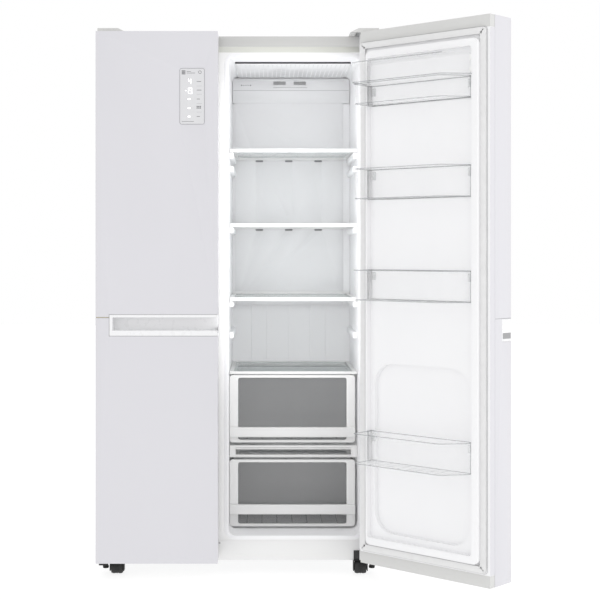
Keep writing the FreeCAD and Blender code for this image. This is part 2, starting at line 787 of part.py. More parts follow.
def shelf_frame(level, glass_span):
    """One shelf's plastic surround with its front trim and raised back lip."""
    x = inside(FRIDGE, "side_clear")
    y = (SHELF_FRONT, less(DUCT_FACE, "side_clear"))
    plate = box(x, y, (f"({level} - shelf_trim)", level))
    lip = box(x, (less(y[1], 6), y[1]), (level, f"({level} + shelf_lip)"))
    seat = box(glass_span[0], glass_span[1], (f"({level} - glass)", more(level, 1)))
    window = box(inside(glass_span[0], 8), inside(glass_span[1], 8),
                 (f"({level} - shelf_trim - 1)", more(level, 1)))
    under = box(inside(x, 6), (more(y[0], "shelf_bar"), less(y[1], "shelf_bar")),
                (f"({level} - shelf_trim - 1)", f"({level} - glass - 3)"))
    return cut(joined([plate, lip]), [seat, window, under])


def shelves():
    """The three glass shelves in their surrounds."""
    span = (inside(FRIDGE, "side_clear + shelf_bar"),
            (more(SHELF_FRONT, "shelf_bar"), less(DUCT_FACE, "side_clear + shelf_bar")))
    levels = ("shelf_high", "shelf_mid", "shelf_low")
    node("shelf_frames", group([shelf_frame(level, span) for level in levels]))
    panes = [box(inside(span[0], 0.2), inside(span[1], 0.2), (f"({level} - glass)", level))
             for level in levels]
    cover = box(inside(span[0], 0.2), inside(span[1], 0.2), ("cover_level - glass", "cover_level"))
    node("shelf_glasses", group(panes + [cover]))
    return span


def drawer_back(level):
    """Where a drawer ends: the lower ones stop before the step over the machine compartment."""
    return less(MACHINE_FRONT, "step_wall + liner_wall + 8") if level == "lower" else less(INNER_BACK, 40)


def crisper_frame(span):
    """The fixed surround of the crispers: the cover's rim and the rail between the drawers."""
    x = inside(FRIDGE, "side_clear")
    y = (SHELF_FRONT, less(INNER_BACK, 2))
    rim = box(x, y, ("cover_level - cover_rim", "cover_level"))
    seat = box(span[0], span[1], ("cover_level - glass", "cover_level + 1"))
    window = box(inside(span[0], 8), inside(span[1], 8), ("cover_level - 20", "cover_level + 1"))
    top = cut(rim, [seat, window])
    rail = box(x, (SHELF_FRONT, drawer_back("lower")), ("divider_base", "divider_top"))
    gap = box(inside(x, 20), (less(SHELF_FRONT, 1), BACK), ("divider_base + 8", "divider_top - 8"))
    back = box(inside(x, 30), (more(SHELF_FRONT, 30), less(drawer_back("lower"), 30)),
               ("divider_base - 1", "divider_top + 1"))
    node("crisper_frame", group([top, cut(rail, [gap, back])]))


def crisper(label, level, z, bar):
    """One drawer: a clear tub and a white front with a window and a bar handle."""
    x = (more(FRIDGE[0], "side_clear"), less(FRIDGE[1], "drawer_right_clear"))
    front = (SHELF_FRONT, more(SHELF_FRONT, "drawer_front"))
    tub_x = inside(x, 6)
    tub_y = (front[1], drawer_back(level))
    tub = cut(box(tub_x, tub_y, z), [box(inside(tub_x, "drawer_wall"), inside(tub_y, "drawer_wall"),
                                         (more(z[0], "drawer_wall"), more(z[1], 1)))])
    node(f"{label}_tub", tub)
    plate = slab("Y", x, front, z, "front_corner")
    window = slab("Y", inside(x, "drawer_frame"), outside(front, 1), inside(z, 9), "8")
    handle = slab("X", x, (less(SHELF_FRONT, "bar_deep - 4"), more(SHELF_FRONT, 4)),
                  (bar, f"({bar} + bar_tall)"), "3.5")
    grip = box(inside(x, "drawer_frame"), (less(SHELF_FRONT, "bar_deep - 8"), more(SHELF_FRONT, 5)),
               (f"({bar} - 1)", f"({bar} + bar_tall - 6)"))
    node(f"{label}_front", joined([cut(plate, [window]), cut(handle, [grip])]))


def freezer_fittings():
    """The freezer's shelves and its two fixed baskets."""
    x = inside(FREEZER, "side_clear")
    y = (SHELF_FRONT, less(INNER_BACK, f"{COLD_DUCT_DEEP} + 2"))
    racks = []
    for level in ("shelf_high", "shelf_mid", "shelf_low"):
        plate = box(x, y, (f"({level} - 8)", level))
        lip = box(x, (y[0], more(y[0], 5)), (f"({level} - 14)", more(level, 6)))
        racks.append(joined([plate, lip]))
    node("freezer_shelves", group(racks))
    baskets = []
    for base in ("(opening_base + 10)", "(cover_level - 250)"):
        depth = (y[0], drawer_back("lower"))
        tray = box(inside(x, 3), depth, (base, more(base, 210)))
        hollow = box(inside(x, 6), inside(depth, 3), (more(base, 3), more(base, 211)))
        baskets.append(cut(tray, [hollow]))
    node("freezer_baskets", group(baskets))


# --- doors -----------------------------------------------------------------------------------------

def across(side, low, high):
    """A span of X in a door's own frame, from distances off the hinge axis to the free edge."""
    return (f"-({high})", f"-({low})") if side == "fridge" else (low, high)


def door_piece(side, name, item):
    """Hang a piece on its hinge axis, turned open on the fridge side."""
    hung = group([item])
    bind(hung, "Placement.Base.x", HINGE_X if side == "fridge" else f"-{HINGE_X}")
    bind(hung, "Placement.Base.y", HINGE_Y)
    bind(hung, "Placement.Rotation.Angle", "open_angle" if side == "fridge" else "0")
    node(f"{side}_door_{name}", hung)


def whole_width(side, amount):
    """The door's width less amount at each edge."""
    return across(side, more(STILE, amount), less(FREE_EDGE[side], amount))


def handle_zone(side, start, deep, low, high):
    """The space of the recess: from start to past the free edge."""
    x = across(side, start, more(FREE_EDGE[side], "1"))
    return box(x, (less(DOOR_FRONT, 5), f"({DOOR_FRONT} + {deep})"), (low, high))


def handle_start():
    return f"({STILE} + handle_edge)"


def door_skin(side):
    """The painted sheets wrapped round the front and edges, above and below the seam."""
    z = ("door_base", "door_top")
    y = (DOOR_FRONT, less(DOOR_INNER, "stile_notch"))
    outer = box(whole_width(side, 0), y, z)
    hollow = box(whole_width(side, "skin"), (more(DOOR_FRONT, "skin"), more(DOOR_INNER, 1)), outside(z, 1))
    recess = handle_zone(side, handle_start(), "handle_deep", "handle_base", "handle_top")
    seam = box(across(side, less(STILE, 1), more(handle_start(), 1)), outside(y, 1),
               ("seam_base", "seam_base + seam_height"))
    tools = [hollow, recess, seam]
    if side == "freezer":
        tools.append(panel_block("panel_proud", "panel_thick", 0))
    door_piece(side, "skin", cut(outer, tools))


def cap_notch(side, z):
    return box(across(side, less(STILE, 1), "-1"), (less(DOOR_INNER, "stile_notch"), more(DOOR_INNER, 1)), z)


def door_caps(side):
    """The moulded end caps with the hinge bores."""
    x = whole_width(side, "skin")
    y = (more(DOOR_FRONT, "skin"), DOOR_INNER)
    spans = ((LINING[1], "door_top"), ("door_base", LINING[0]))
    bores = (rod("Z", "0", "0", ("(door_top - pin_deep)", "(door_top + 1)"), "pin_radius + pin_fit"),
             rod("Z", "0", "0", ("(door_base - 1)", "(door_base + pin_deep)"), "base_pin_radius + pin_fit"))
    caps = [cut(box(x, y, z), [cap_notch(side, outside(z, 1)), bore]) for z, bore in zip(spans, bores)]
    door_piece(side, "caps", group(caps))


def recess_slab(side, grow, y):
    """The bottle recess of the fridge door's liner, or its outside."""
    x = across(side, f"(dyke_hinge + dyke_stile + recess_margin - {grow})",
               f"({FREE_EDGE[side]} - dyke_free - dyke_rail - recess_margin + {grow})")
    return slab("Y", x, y, (f"(recess_base - {grow})", f"(recess_top + {grow})"), f"recess_corner + {grow}")


def recess_tray(side):
    return recess_slab(side, "door_wall", (f"({DOOR_INNER} - recess_deep - door_wall)", DOOR_INNER))


def dyke(side):
    """The ring that stands inside the cabinet's opening when the door is shut."""
    y = (less(DOOR_INNER, "door_wall / 2"), more(DOOR_INNER, "dyke_rise"))
    z = ("(opening_base + dyke_clear)", "(opening_top - dyke_clear)")
    outer = slab("Y", across(side, "dyke_hinge", less(FREE_EDGE[side], "dyke_free")), y, z, "16")
    inner = slab("Y", across(side, "(dyke_hinge + dyke_stile)",
                             less(FREE_EDGE[side], "(dyke_free + dyke_rail)")), outside(y, 1),
                 inside(z, "dyke_rail"), "10")
    return cut(outer, [inner])


def liner_cavity(side):
    return box(across(side, "1", less(FREE_EDGE[side], "(skin + door_wall)")),
               (less(DOOR_INNER, "stile_notch + 3"), less(DOOR_INNER, "door_wall")),
               inside(LINING, "door_wall"))


def door_liner(side):
    """The moulded inner panel: a tray with a notched stile, the dyke and the bottle recess."""
    tray = box(across(side, "-1", less(FREE_EDGE[side], "skin")), (less(DOOR_INNER, "stile_notch"),
                                                                 DOOR_INNER), LINING)
    foot = box(across(side, f"({STILE} + skin)", "0"),
               (less(DOOR_INNER, "stile_notch + door_wall"), less(DOOR_INNER, "stile_notch")), LINING)
    shell = joined([cut(tray, [liner_cavity(side)]), foot, dyke(side)])
    if side == "fridge":
        hollow = recess_slab(side, "0", (less(DOOR_INNER, "recess_deep"), more(DOOR_INNER, 1)))
        bores = lid_pins("(lid_pin_long + 0.5)", "(lid_pin_radius + pin_fit)")
        shell = cut(joined([shell, recess_tray(side)]), [hollow] + bores)
    door_piece(side, "liner", shell)


def door_foam(side):
    """The insulation inside the door."""
    rear = less(DOOR_INNER, "stile_notch + door_wall")
    front = box(whole_width(side, "skin"), (more(DOOR_FRONT, "skin"), rear), LINING)
    back = box(across(side, "1", less(FREE_EDGE[side], "(skin + door_wall)")),
               (less(rear, 1), less(DOOR_INNER, "door_wall")), inside(LINING, "door_wall"))
    tools = [handle_zone(side, handle_start(), "handle_deep", "handle_base", "handle_top")]
    tray_edge = across(side, less(FREE_EDGE[side], "(skin + door_wall)"), FREE_EDGE[side])
    tools.append(box(tray_edge, (less(DOOR_INNER, "stile_notch"), DOOR_INNER), LINING))
    if side == "fridge":
        tools.append(recess_tray(side))
    else:
        tools.append(panel_block("0", "(panel_thick + board_thick)", 0))
    door_piece(side, "foam", cut(joined([front, back]), tools))


def door_gasket(side):
    """The magnetic seal round the inner face."""
    y = (DOOR_INNER, f"({DOOR_INNER} + door_back_gap - seal_gap)")
    x = across(side, "gasket_stile", less(FREE_EDGE[side], "gasket_free"))
    z = ("(door_base + gasket_base)", "(door_top - gasket_top)")
    ring = cut(slab("Y", x, y, z, "12"), [slab("Y", inside(x, "gasket_wide"), outside(y, 1),
                                              inside(z, "(gasket_wide + 2)"), "6")])
    door_piece(side, "gasket", ring)


def door_handle(side):
    """The recessed grip: a channel with a lip below, a brow above and one closed end."""
    x = across(side, handle_start(), FREE_EDGE[side])
    block = box(x, (less(DOOR_FRONT, "handle_proud"), f"({DOOR_FRONT} + handle_deep)"),
                ("handle_base", "handle_top"))
    pocket = handle_zone(side, f"({handle_start()} + handle_cheek)", "pocket_deep",
                         "(handle_base + handle_lip)", "(handle_top - handle_brow)")
    door_piece(side, "handle", cut(block, [pocket]))


def panel_block(proud, deep, shrink):
    """The rounded block of the display, in the freezer door's frame."""
    high = less(FREE_EDGE["freezer"], "panel_edge")
    x = inside((f"({high} - panel_wide)", high), shrink)
    z = inside(("panel_base", "(panel_base + panel_tall)"), shrink)
    y = (f"({DOOR_FRONT} - {proud})", f"({DOOR_FRONT} + {deep})")
    return slab("Y", x, y, z, f"panel_corner - {shrink}")


def display():
    """The display module in the freezer door: its panel and the board behind it."""
    high = less(FREE_EDGE["freezer"], "(panel_edge + 5)")
    board = box((f"({high} - panel_wide + 10)", high),
                (f"({DOOR_FRONT} + panel_thick)", f"({DOOR_FRONT} + panel_thick + board_thick)"),
                ("panel_base + 5", "panel_base + panel_tall - 5"))
    door_piece("freezer", "display", group([panel_block("panel_proud", "panel_thick", 0), board]))


def plan(side, grow):
    """The plan of a door bin, with its free corner bevelled; grow is taken off all round."""
    flip = "-" if side == "fridge" else ""
    free = FREE_EDGE[side]
    deep = f"({DOOR_INNER} + bin_deep - {grow})"
    points = [(f"(bin_hinge + {grow})", f"({DOOR_INNER} + {grow})"),
              (f"({free} - bin_free - {grow})", f"({DOOR_INNER} + {grow})"),
              (f"({free} - bin_free - {grow})", f"({DOOR_INNER} + bin_cheek - {grow} * 0.3)"),
              (f"({free} - bin_free - bin_bevel - {grow} * 0.6)", deep),
              (f"(bin_hinge + {grow})", deep)]
    return [(f"{flip}{reach}", along) for reach, along in points]


def tray(side, z):
    outer = prism("Z", plan(side, "0"), z)
    return cut(outer, [prism("Z", plan(side, "bin_wall"), (more(z[0], "bin_wall"), more(z[1], 1)))])


def door_bins(side):
    """The clear bins that hang on the liner."""
    trays = [tray(side, (base, f"({base} + bin_tall)")) for base in ("bin_high_base", "bin_mid_base",
                                                                    "bin_low_base")]
    door_piece(side, "bins", group(trays))


def lid_pins(reach, radius):
    """Two round bars at the ends of the dairy lid, on the axis that it swings about."""
    y = more(DOOR_INNER, "lid_pin_out")
    z = "(dairy_base + dairy_tall - lid_pin_drop)"
    near = (less("bin_hinge", reach), more("bin_hinge", "bin_wall"))
    far = less(FREE_EDGE["fridge"], "bin_free")
    return [rod("X", across("fridge", *span), y, z, radius)
            for span in (near, (less(far, "bin_wall"), more(far, reach)))]


def dairy():
    """The dairy compartment's tray and its lid, which swings up about the pins at its back."""
    z = ("dairy_base", "(dairy_base + dairy_front)")
    door_piece("fridge", "dairy_tray", tray("fridge", z))
    top = "(dairy_base + dairy_tall)"
    outer = prism("Z", plan("fridge", "0"), (more(z[1], "lid_gap"), top))
    under = prism("Z", plan("fridge", "bin_wall"), (z[1], less(top, "bin_wall")))
    back = box(across("fridge", "0", FREE_EDGE["fridge"]),
               (less(DOOR_INNER, 1), more(DOOR_INNER, "lid_back")), (z[1], more(top, 1)))
    shell = cut(outer, [under, back])
    door_piece("fridge", "dairy_lid", joined([shell] + lid_pins("lid_pin_long", "lid_pin_radius")))


# --- hinges, wheels and feet -----------------------------------------------------------------------

def top_hinges():
    """The plates on the cabinet's top with their pins, and the covers over them."""
    def plates(span):
        x = span(f"({HINGE_X} + 21 - hinge_plate_wide)", f"({HINGE_X} + 21)")
        centre = span(HINGE_X, HINGE_X)[0]
        plate = slab("Z", x, (f"({HINGE_Y} - 14)", f"({HINGE_Y} - 14 + hinge_plate_long)"),
                     ("cab_top", "cab_top + plate"), "8")
        pin = rod("Z", centre, HINGE_Y, ("(door_top - pin_deep + 1)", "(cab_top + plate)"), "pin_radius")
        return [joined([plate, pin])]

    def covers(span):
        low = f"({HINGE_X} + 24 - hinge_plate_wide - cover_slope)"
        flat = f"({low} + cover_slope)"
        high = less(HALF, 1)
        top = "(cab_top + cover_rise)"
        flip = "-" if span("0", "1")[0] != "0" else ""
        y = (f"({HINGE_Y} - 20)", f"({HINGE_Y} - 8 + hinge_plate_long)")
        points = [(f"{flip}{low}", "cab_top"), (f"{flip}{high}", "cab_top"), (f"{flip}{high}", top),
                  (f"{flip}{flat}", top)]
        core = box(span(less(flat, 6), f"({HINGE_X} + 22)"), inside(y, 3), ("cab_top - 1", "cab_top + 8"))
        return [cut(prism("Y", points, y), [core])]

    node("top_hinges", group(both_sides(plates)))
    node("hinge_covers", group(both_sides(covers)))


def bottom_hinges():
    """The black brackets that carry the doors, with pins and thrust bushes."""
    def bracket(span):
        flange = box(span(less(HINGE_X, 53), less(HALF, 8)), (less(FRONT, "plate"), FRONT),
                     ("cab_base", "cab_base + 32"))
        tongue = slab("Z", span(less(HINGE_X, 6.5), less(HALF, 4)), (f"({HINGE_Y} - 14)", FRONT),
                      ("cab_base", "cab_base + plate + 1"), "6")
        centre = span(HINGE_X, HINGE_X)[0]
        bush = rod("Z", centre, HINGE_Y, ("cab_base + plate", less("door_base", "run_gap")), "bush_radius")
        pin = rod("Z", centre, HINGE_Y, ("cab_base + plate", "(door_base + pin_deep - 1)"),
                  "base_pin_radius")
        return [joined([flange, tongue, bush, pin])]

    node("bottom_hinges", group(both_sides(bracket)))


def wheel_y():
    return more(FRONT, "wheel_y")


def foot_y():
    return more(FRONT, "foot_inset")


def front_wheels():
    """The two front wheels and the forks that hold them."""
    for label, sign in (("right", ""), ("left", "-")):
        x = centred(f"({sign}wheel_x)", "wheel_wide")
        node(f"front_wheel_{label}", tyre(x, wheel_y(), "wheel_radius", "(axle_radius + pin_fit)",
                                          "wheel_radius", "wheel_round"))


def wheel_forks():
    """Two cheeks and an axle for each front wheel, and two cheeks for each rear roller."""
    def front(span):
        middle = span("wheel_x", "wheel_x")[0]
        inner = centred(middle, "(wheel_wide + 2)")
        outer = outside(inner, "cheek")
        y = centred(wheel_y(), "fork_long")
        yoke = cut(box(outer, y, ("10", "cab_base")), [box(inner, outside(y, 1),
                                                           ("9", "(wheel_radius * 2 + 0.5)"))])
        return [joined([yoke, rod("X", outer, wheel_y(), "wheel_radius", "axle_radius")])]

    def rear(span):
        middle = span("wheel_x", "wheel_x")[0]
        inner = centred(middle, "(roller_wide + 2)")
        y = centred(less(BACK, "roller_y"), "roller_fork")
        block = box(outside(inner, "cheek"), y, ("8", "cab_base"))
        room = box(inner, outside(y, 1), ("7", "(roller_radius * 2 + 1)"))
        bore = rod("X", outside(inner, "(cheek + 1)"), less(BACK, "roller_y"), "roller_radius",
                   "(axle_radius + pin_fit)")
        return [cut(block, [room, bore])]

    node("wheel_forks", group(both_sides(front) + both_sides(rear)))


def rear_rollers():
    """Two rollers on one shaft across the back."""
    rollers = [tyre(centred(f"({sign}wheel_x)", "roller_wide"), less(BACK, "roller_y"), "roller_radius",
                    "(axle_radius + pin_fit)", "roller_radius", "3") for sign in ("", "-")]
    reach = "(wheel_x + roller_wide / 2 + cheek + 3)"
    shaft = rod("X", (f"-{reach}", reach), less(BACK, "roller_y"), "roller_radius", "axle_radius")
    node("rear_rollers", group(rollers + [shaft]))


def feet():
    """The threaded levelling feet beside the front wheels, wound up off the floor."""
    for label, sign in (("right", ""), ("left", "-")):
        x = f"({sign}foot_x)"
        sole = rod("Z", x, foot_y(), ("foot_clear", "foot_clear + foot_tall"), "foot_radius")
        stem = rod("Z", x, foot_y(), ("foot_clear", "cab_base + 42"), "thread_radius")
        node(f"levelling_foot_{label}", joined([sole, stem]))


def screws():
    """The screws of the top hinges, the machine cover and the kick panel."""
    def hinge(span):
        made = []
        for inward, along in ((36, 76), (-8, 76), (36, 130), (-8, 130)):
            centre = span(less(HINGE_X, inward), less(HINGE_X, inward))[0]
            y = more(HINGE_Y, along)
            made.append(rod("Z", centre, y, ("cab_top + plate", "cab_top + plate + head_tall"),
                            "screw_head"))
        return made

    cover = [rod("Y", f"({column} * 140)", (less(BACK, "skin / 2"), more(BACK, "head_tall - skin / 2")),
                 "(cab_base + 30)", "screw_head") for column in (-3, -1, 1, 3)]
    kick = [rod("Y", "split_x", (less(FRONT, "head_tall"), FRONT), "(cab_base + 56)", "screw_head - 1")]
    node("screws", group(both_sides(hinge) + cover + kick))


def build():
    """Make every sub-part."""
    fill_sheet()
    cabinet_shell()
    back_panel()
    outers = liners()
    front_frame()
    kick_panel()
    base_plate()
    foam(outers)
    machine_cover()
    fridge_air_duct()
    fridge_top_duct()
    lamp_strip = lamp()
    freezer_air_duct()
    evaporator()
    condenser()
    drain_pan()
    compressor()
    node("fan_frames", group([evaporator_fan(), condenser_fan()]))
    electrics(lamp_strip)
    crisper_frame(shelves())
    crisper("upper_crisper", "upper", ("upper_base", "upper_top"), "upper_bar")
    crisper("lower_crisper", "lower", ("lower_base", "lower_top"), "lower_bar")
    freezer_fittings()
    for side in ("fridge", "freezer"):
        door_skin(side)
        door_caps(side)
        door_liner(side)
        door_foam(side)
        door_gasket(side)
        door_handle(side)
        door_bins(side)
    display()
    dairy()
    top_hinges()
    bottom_hinges()
    front_wheels()
    wheel_forks()
    rear_rollers()
    feet()
    screws()
    doc.recompute()


def check():
    """Stop if any object failed to rebuild or any sub-part has no valid shape."""
    for item in doc.Objects:
        if {"Invalid", "Error"} & set(item.State):
            raise RuntimeError(f"{item.Name} ({item.Label}) failed: {item.State}")
    for item in nodes:
        if item.Shape.isNull() or not item.Shape.isValid():
            raise RuntimeError(f"{item.Label} has no valid shape")


def export():
    """Write each sub-part to its own file."""
    os.makedirs("parts", exist_ok=True)
    for item in nodes:
        item.Shape.exportStep(f"parts/{item.Label}.step")
    print(len(nodes), "sub-parts written")


build()
check()
export()
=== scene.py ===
"""Looks of a side by side refrigerator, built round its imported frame.

Every length is in metres. A door is shaped in its own shut frame, where X runs from the hinge axis to the
free edge, Y runs from the outer face to the room inside the cabinet, and Z is the height over the floor.
"""

import json
import logging
import math
from dataclasses import dataclass
from enum import Enum
from functools import cache
from typing import Callable, Iterable, Optional, Sequence

import bmesh
import bpy
from mathutils import Matrix, Vector

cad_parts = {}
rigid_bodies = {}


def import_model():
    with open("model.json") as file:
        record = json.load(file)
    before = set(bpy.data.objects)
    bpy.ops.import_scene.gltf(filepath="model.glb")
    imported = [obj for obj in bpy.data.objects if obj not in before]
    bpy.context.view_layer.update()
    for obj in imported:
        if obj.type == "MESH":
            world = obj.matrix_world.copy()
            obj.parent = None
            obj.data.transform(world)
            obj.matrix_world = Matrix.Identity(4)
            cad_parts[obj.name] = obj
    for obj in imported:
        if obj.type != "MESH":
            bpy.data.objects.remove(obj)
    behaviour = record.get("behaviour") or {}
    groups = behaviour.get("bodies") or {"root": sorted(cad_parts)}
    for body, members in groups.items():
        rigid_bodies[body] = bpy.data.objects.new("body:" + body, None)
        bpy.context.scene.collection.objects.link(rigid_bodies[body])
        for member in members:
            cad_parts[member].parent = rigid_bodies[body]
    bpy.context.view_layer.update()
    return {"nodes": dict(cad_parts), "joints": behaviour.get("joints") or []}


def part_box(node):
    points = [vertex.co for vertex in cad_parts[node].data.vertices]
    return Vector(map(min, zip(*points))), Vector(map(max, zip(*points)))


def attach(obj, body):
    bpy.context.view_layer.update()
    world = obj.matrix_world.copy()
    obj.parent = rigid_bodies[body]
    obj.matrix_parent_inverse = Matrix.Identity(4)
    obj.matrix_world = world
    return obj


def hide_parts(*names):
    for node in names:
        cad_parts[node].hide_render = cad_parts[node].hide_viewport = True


for stray in list(bpy.data.objects):
    bpy.data.objects.remove(stray)
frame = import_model()
log = logging.getLogger("refrigerator")

MM = 0.001
TUB_WALL = 2.4 * MM
SHARP = math.radians(35)
UPRIGHT = Matrix(((1, 0, 0, 0), (0, 0, 1, 0), (0, 1, 0, 0), (0, 0, 0, 1)))


class Axis(Enum):
    """The three axes, as indexes."""

    X = 0
    Y = 1
    Z = 2


class Side(Enum):
    """The two doors, named for the room behind them."""

    FRIDGE = "fridge"
    FREEZER = "freezer"


# --- frame readings --------------------------------------------------------------------------------------

def joint(name: str) -> dict:
    """Find a joint of the frame.

    Args:
        name: The joint's name.

    Returns:
        The joint's row.
    """
    return next(row for row in frame["joints"] if row["name"] == name)


def door_matrix(side: Side) -> Matrix:
    """Give the matrix from a door's own frame to the row frame at rest.

    Args:
        side: Which door.

    Returns:
        A matrix, mirrored for the door on the right.
    """
    row = joint(f"{side.value}_door_swing")
    x, y, _ = row["pos_m"]
    if side is Side.FREEZER:
        return Matrix.Translation((x, y, 0))
    turn = math.radians(-row["range_deg"][0])
    return Matrix.Translation((x, y, 0)) @ Matrix.Rotation(turn, 4, "Z") @ Matrix.Scale(-1, 4, (1, 0, 0))


def solids(node: str, matrix: Optional[Matrix] = None) -> list[tuple[Vector, Vector]]:
    """Measure each separate solid of a CAD node.

    Args:
        node: The node's name.
        matrix: The frame to measure in, or None for the row frame.

    Returns:
        The lowest and highest corner of each solid, from the floor up and then from left to right.
    """
    bm = bmesh.new()
    bm.from_mesh(frame["nodes"][node].data)
    bmesh.ops.remove_doubles(bm, verts=bm.verts, dist=1e-6)
    if matrix:
        bm.transform(matrix.inverted())
    waiting = set(bm.verts)
    boxes = []
    while waiting:
        island = [waiting.pop()]
        for vert in island:
            for edge in vert.link_edges:
                other = edge.other_vert(vert)
                if other in waiting:
                    waiting.discard(other)
                    island.append(other)
        low = Vector(min(v.co[i] for v in island) for i in range(3))
        high = Vector(max(v.co[i] for v in island) for i in range(3))
        boxes.append((low, high))
    bm.free()
    return sorted(boxes, key=lambda pair: (round(pair[0].z, 3), round(pair[0].x, 3)))


def whole(node: str, matrix: Optional[Matrix] = None) -> tuple[Vector, Vector]:
    """Measure a CAD node as one box.

    Args:
        node: The node's name.
        matrix: The frame to measure in, or None for the row frame.

    Returns:
        Its lowest and highest corner.
    """
    boxes = solids(node, matrix)
    low = Vector(min(pair[0][i] for pair in boxes) for i in range(3))
    high = Vector(max(pair[1][i] for pair in boxes) for i in range(3))
    return low, high


# --- shaping ---------------------------------------------------------------------------------------------

class Form:
    """A mesh that is being shaped with bmesh operators."""

    def __init__(self) -> None:
        """Start with nothing."""
        self.bm = bmesh.new()

    @classmethod
    def block(cls, low: Sequence[float], high: Sequence[float]) -> "Form":
        """Make a block between two corners.

        Args:
            low: Its lowest corner.
            high: Its highest corner.

        Returns:
            The new form.
        """
        form = cls()
        low, high = Vector(low), Vector(high)
        verts = bmesh.ops.create_cube(form.bm, size=1.0)["verts"]
        bmesh.ops.scale(form.bm, vec=high - low, verts=verts)
        bmesh.ops.translate(form.bm, vec=(low + high) / 2, verts=verts)
        return form

    @classmethod
    def outline(cls, points: Iterable[tuple[float, float]], level: float, radius: float,
                segments: int = 5) -> "Form":
        """Make one flat face with rounded corners.

        Args:
            points: The corners in X and Y, anticlockwise.
            level: The height of the face.
            radius: How far each corner is cut back.
            segments: The number of steps round a corner.

        Returns:
            The new form.
        """
        form = cls()
        verts = [form.bm.verts.new((x, y, level)) for x, y in points]
        form.bm.faces.new(verts)
        if radius:
            bmesh.ops.bevel(form.bm, geom=verts, offset=radius, segments=segments, profile=0.5,
                            affect="VERTICES", material=-1)
        form.bm.faces.ensure_lookup_table()
        return form

    @classmethod
    def rectangle(cls, x: tuple[float, float], y: tuple[float, float], level: float, radius: float,
                  segments: int = 5) -> "Form":
        """Make a flat rectangle with rounded corners.

        Args:
            x: Its span along X.
            y: Its span along Y.
            level: Its height.
            radius: How far each corner is cut back.
            segments: The number of steps round a corner.

        Returns:
            The new form.
        """
        return cls.outline([(x[0], y[0]), (x[1], y[0]), (x[1], y[1]), (x[0], y[1])], level, radius, segments)

    @classmethod
    def lathe(cls, profile: Sequence[tuple[float, float]], steps: int = 40) -> "Form":
        """Turn a profile about Z.

        Args:
            profile: Points as radius and height.
            steps: The number of steps round the axis.

        Returns:
            The new form.
        """
        form = cls()
        verts = [form.bm.verts.new((radius, 0, height)) for radius, height in profile]
        edges = [form.bm.edges.new(pair) for pair in zip(verts, verts[1:])]
        bmesh.ops.spin(form.bm, geom=verts + edges, cent=(0, 0, 0), axis=(0, 0, 1), angle=2 * math.pi,
                       steps=steps, use_merge=True)
        bmesh.ops.remove_doubles(form.bm, verts=form.bm.verts, dist=1e-6)
        return form.outward()

    @classmethod
    def tube(cls, points: Sequence[Sequence[float]], radius: float) -> "Form":
        """Run a round tube along straight stretches with closed ends.

        Args:
            points: The corners of its path.
            radius: Its radius.

        Returns:
            The new form.
        """
        form = cls()
        for start, end in zip(points, points[1:]):
            start, end = Vector(start), Vector(end)
            way = end - start
            turn = way.to_track_quat("Z", "Y").to_matrix().to_4x4()
            place = Matrix.Translation((start + end) / 2) @ turn
            bmesh.ops.create_cone(form.bm, cap_ends=True, segments=14, radius1=radius, radius2=radius,
                                  depth=way.length, matrix=place)
            bmesh.ops.create_uvsphere(form.bm, u_segments=12, v_segments=8, radius=radius,
                                      matrix=Matrix.Translation(end))
        return form

    @classmethod
    def loft(cls, rings: Sequence["Form"]) -> "Form":
        """Join flat faces of one outline into a shell, closed at the first and open at the last.

        Args:
            rings: The faces, each with as many corners as the first.

        Returns:
            The new form.
        """
        form = cls()
        loops = []
        for ring in rings:
            before = set(form.bm.edges)
            form.add(ring)
            loops.append([edge for edge in form.bm.edges if edge not in before])
        form.bm.faces.ensure_lookup_table()
        bmesh.ops.delete(form.bm, geom=list(form.bm.faces)[1:], context="FACES_ONLY")
        for lower, upper in zip(loops, loops[1:]):
            bmesh.ops.bridge_loops(form.bm, edges=lower + upper)
        return form.outward()

    def add(self, other: "Form") -> "Form":
        """Take in another form.

        Args:
            other: The form to take in, which is used up.

        Returns:
            This form.
        """
        mesh = bpy.data.meshes.new("passing")
        other.bm.to_mesh(mesh)
        other.bm.free()
        self.bm.from_mesh(mesh)
        bpy.data.meshes.remove(mesh)
        return self

    def outward(self) -> "Form":
        """Point every face outwards.

        Returns:
            This form.
        """
        bmesh.ops.recalc_face_normals(self.bm, faces=self.bm.faces)
        return self

    def band(self, width: float) -> "Form":
        """Keep only a band of that width inside the outline of a flat face.

        Args:
            width: The width of the band.

        Returns:
            This form.
        """
        inner = list(self.bm.faces)
        bmesh.ops.inset_region(self.bm, faces=inner, thickness=width, use_boundary=True, use_even_offset=True)
        bmesh.ops.delete(self.bm, geom=inner, context="FACES")
        return self

    def raised(self, height: float) -> "Form":
        """Give a flat form its thickness along Z.

        Args:
            height: The thickness.

        Returns:
            This form.
        """
        made = bmesh.ops.extrude_face_region(self.bm, geom=self.bm.faces, use_keep_orig=True)
        verts = [item for item in made["geom"] if isinstance(item, bmesh.types.BMVert)]
        bmesh.ops.translate(self.bm, vec=(0, 0, height), verts=verts)
        return self.outward()

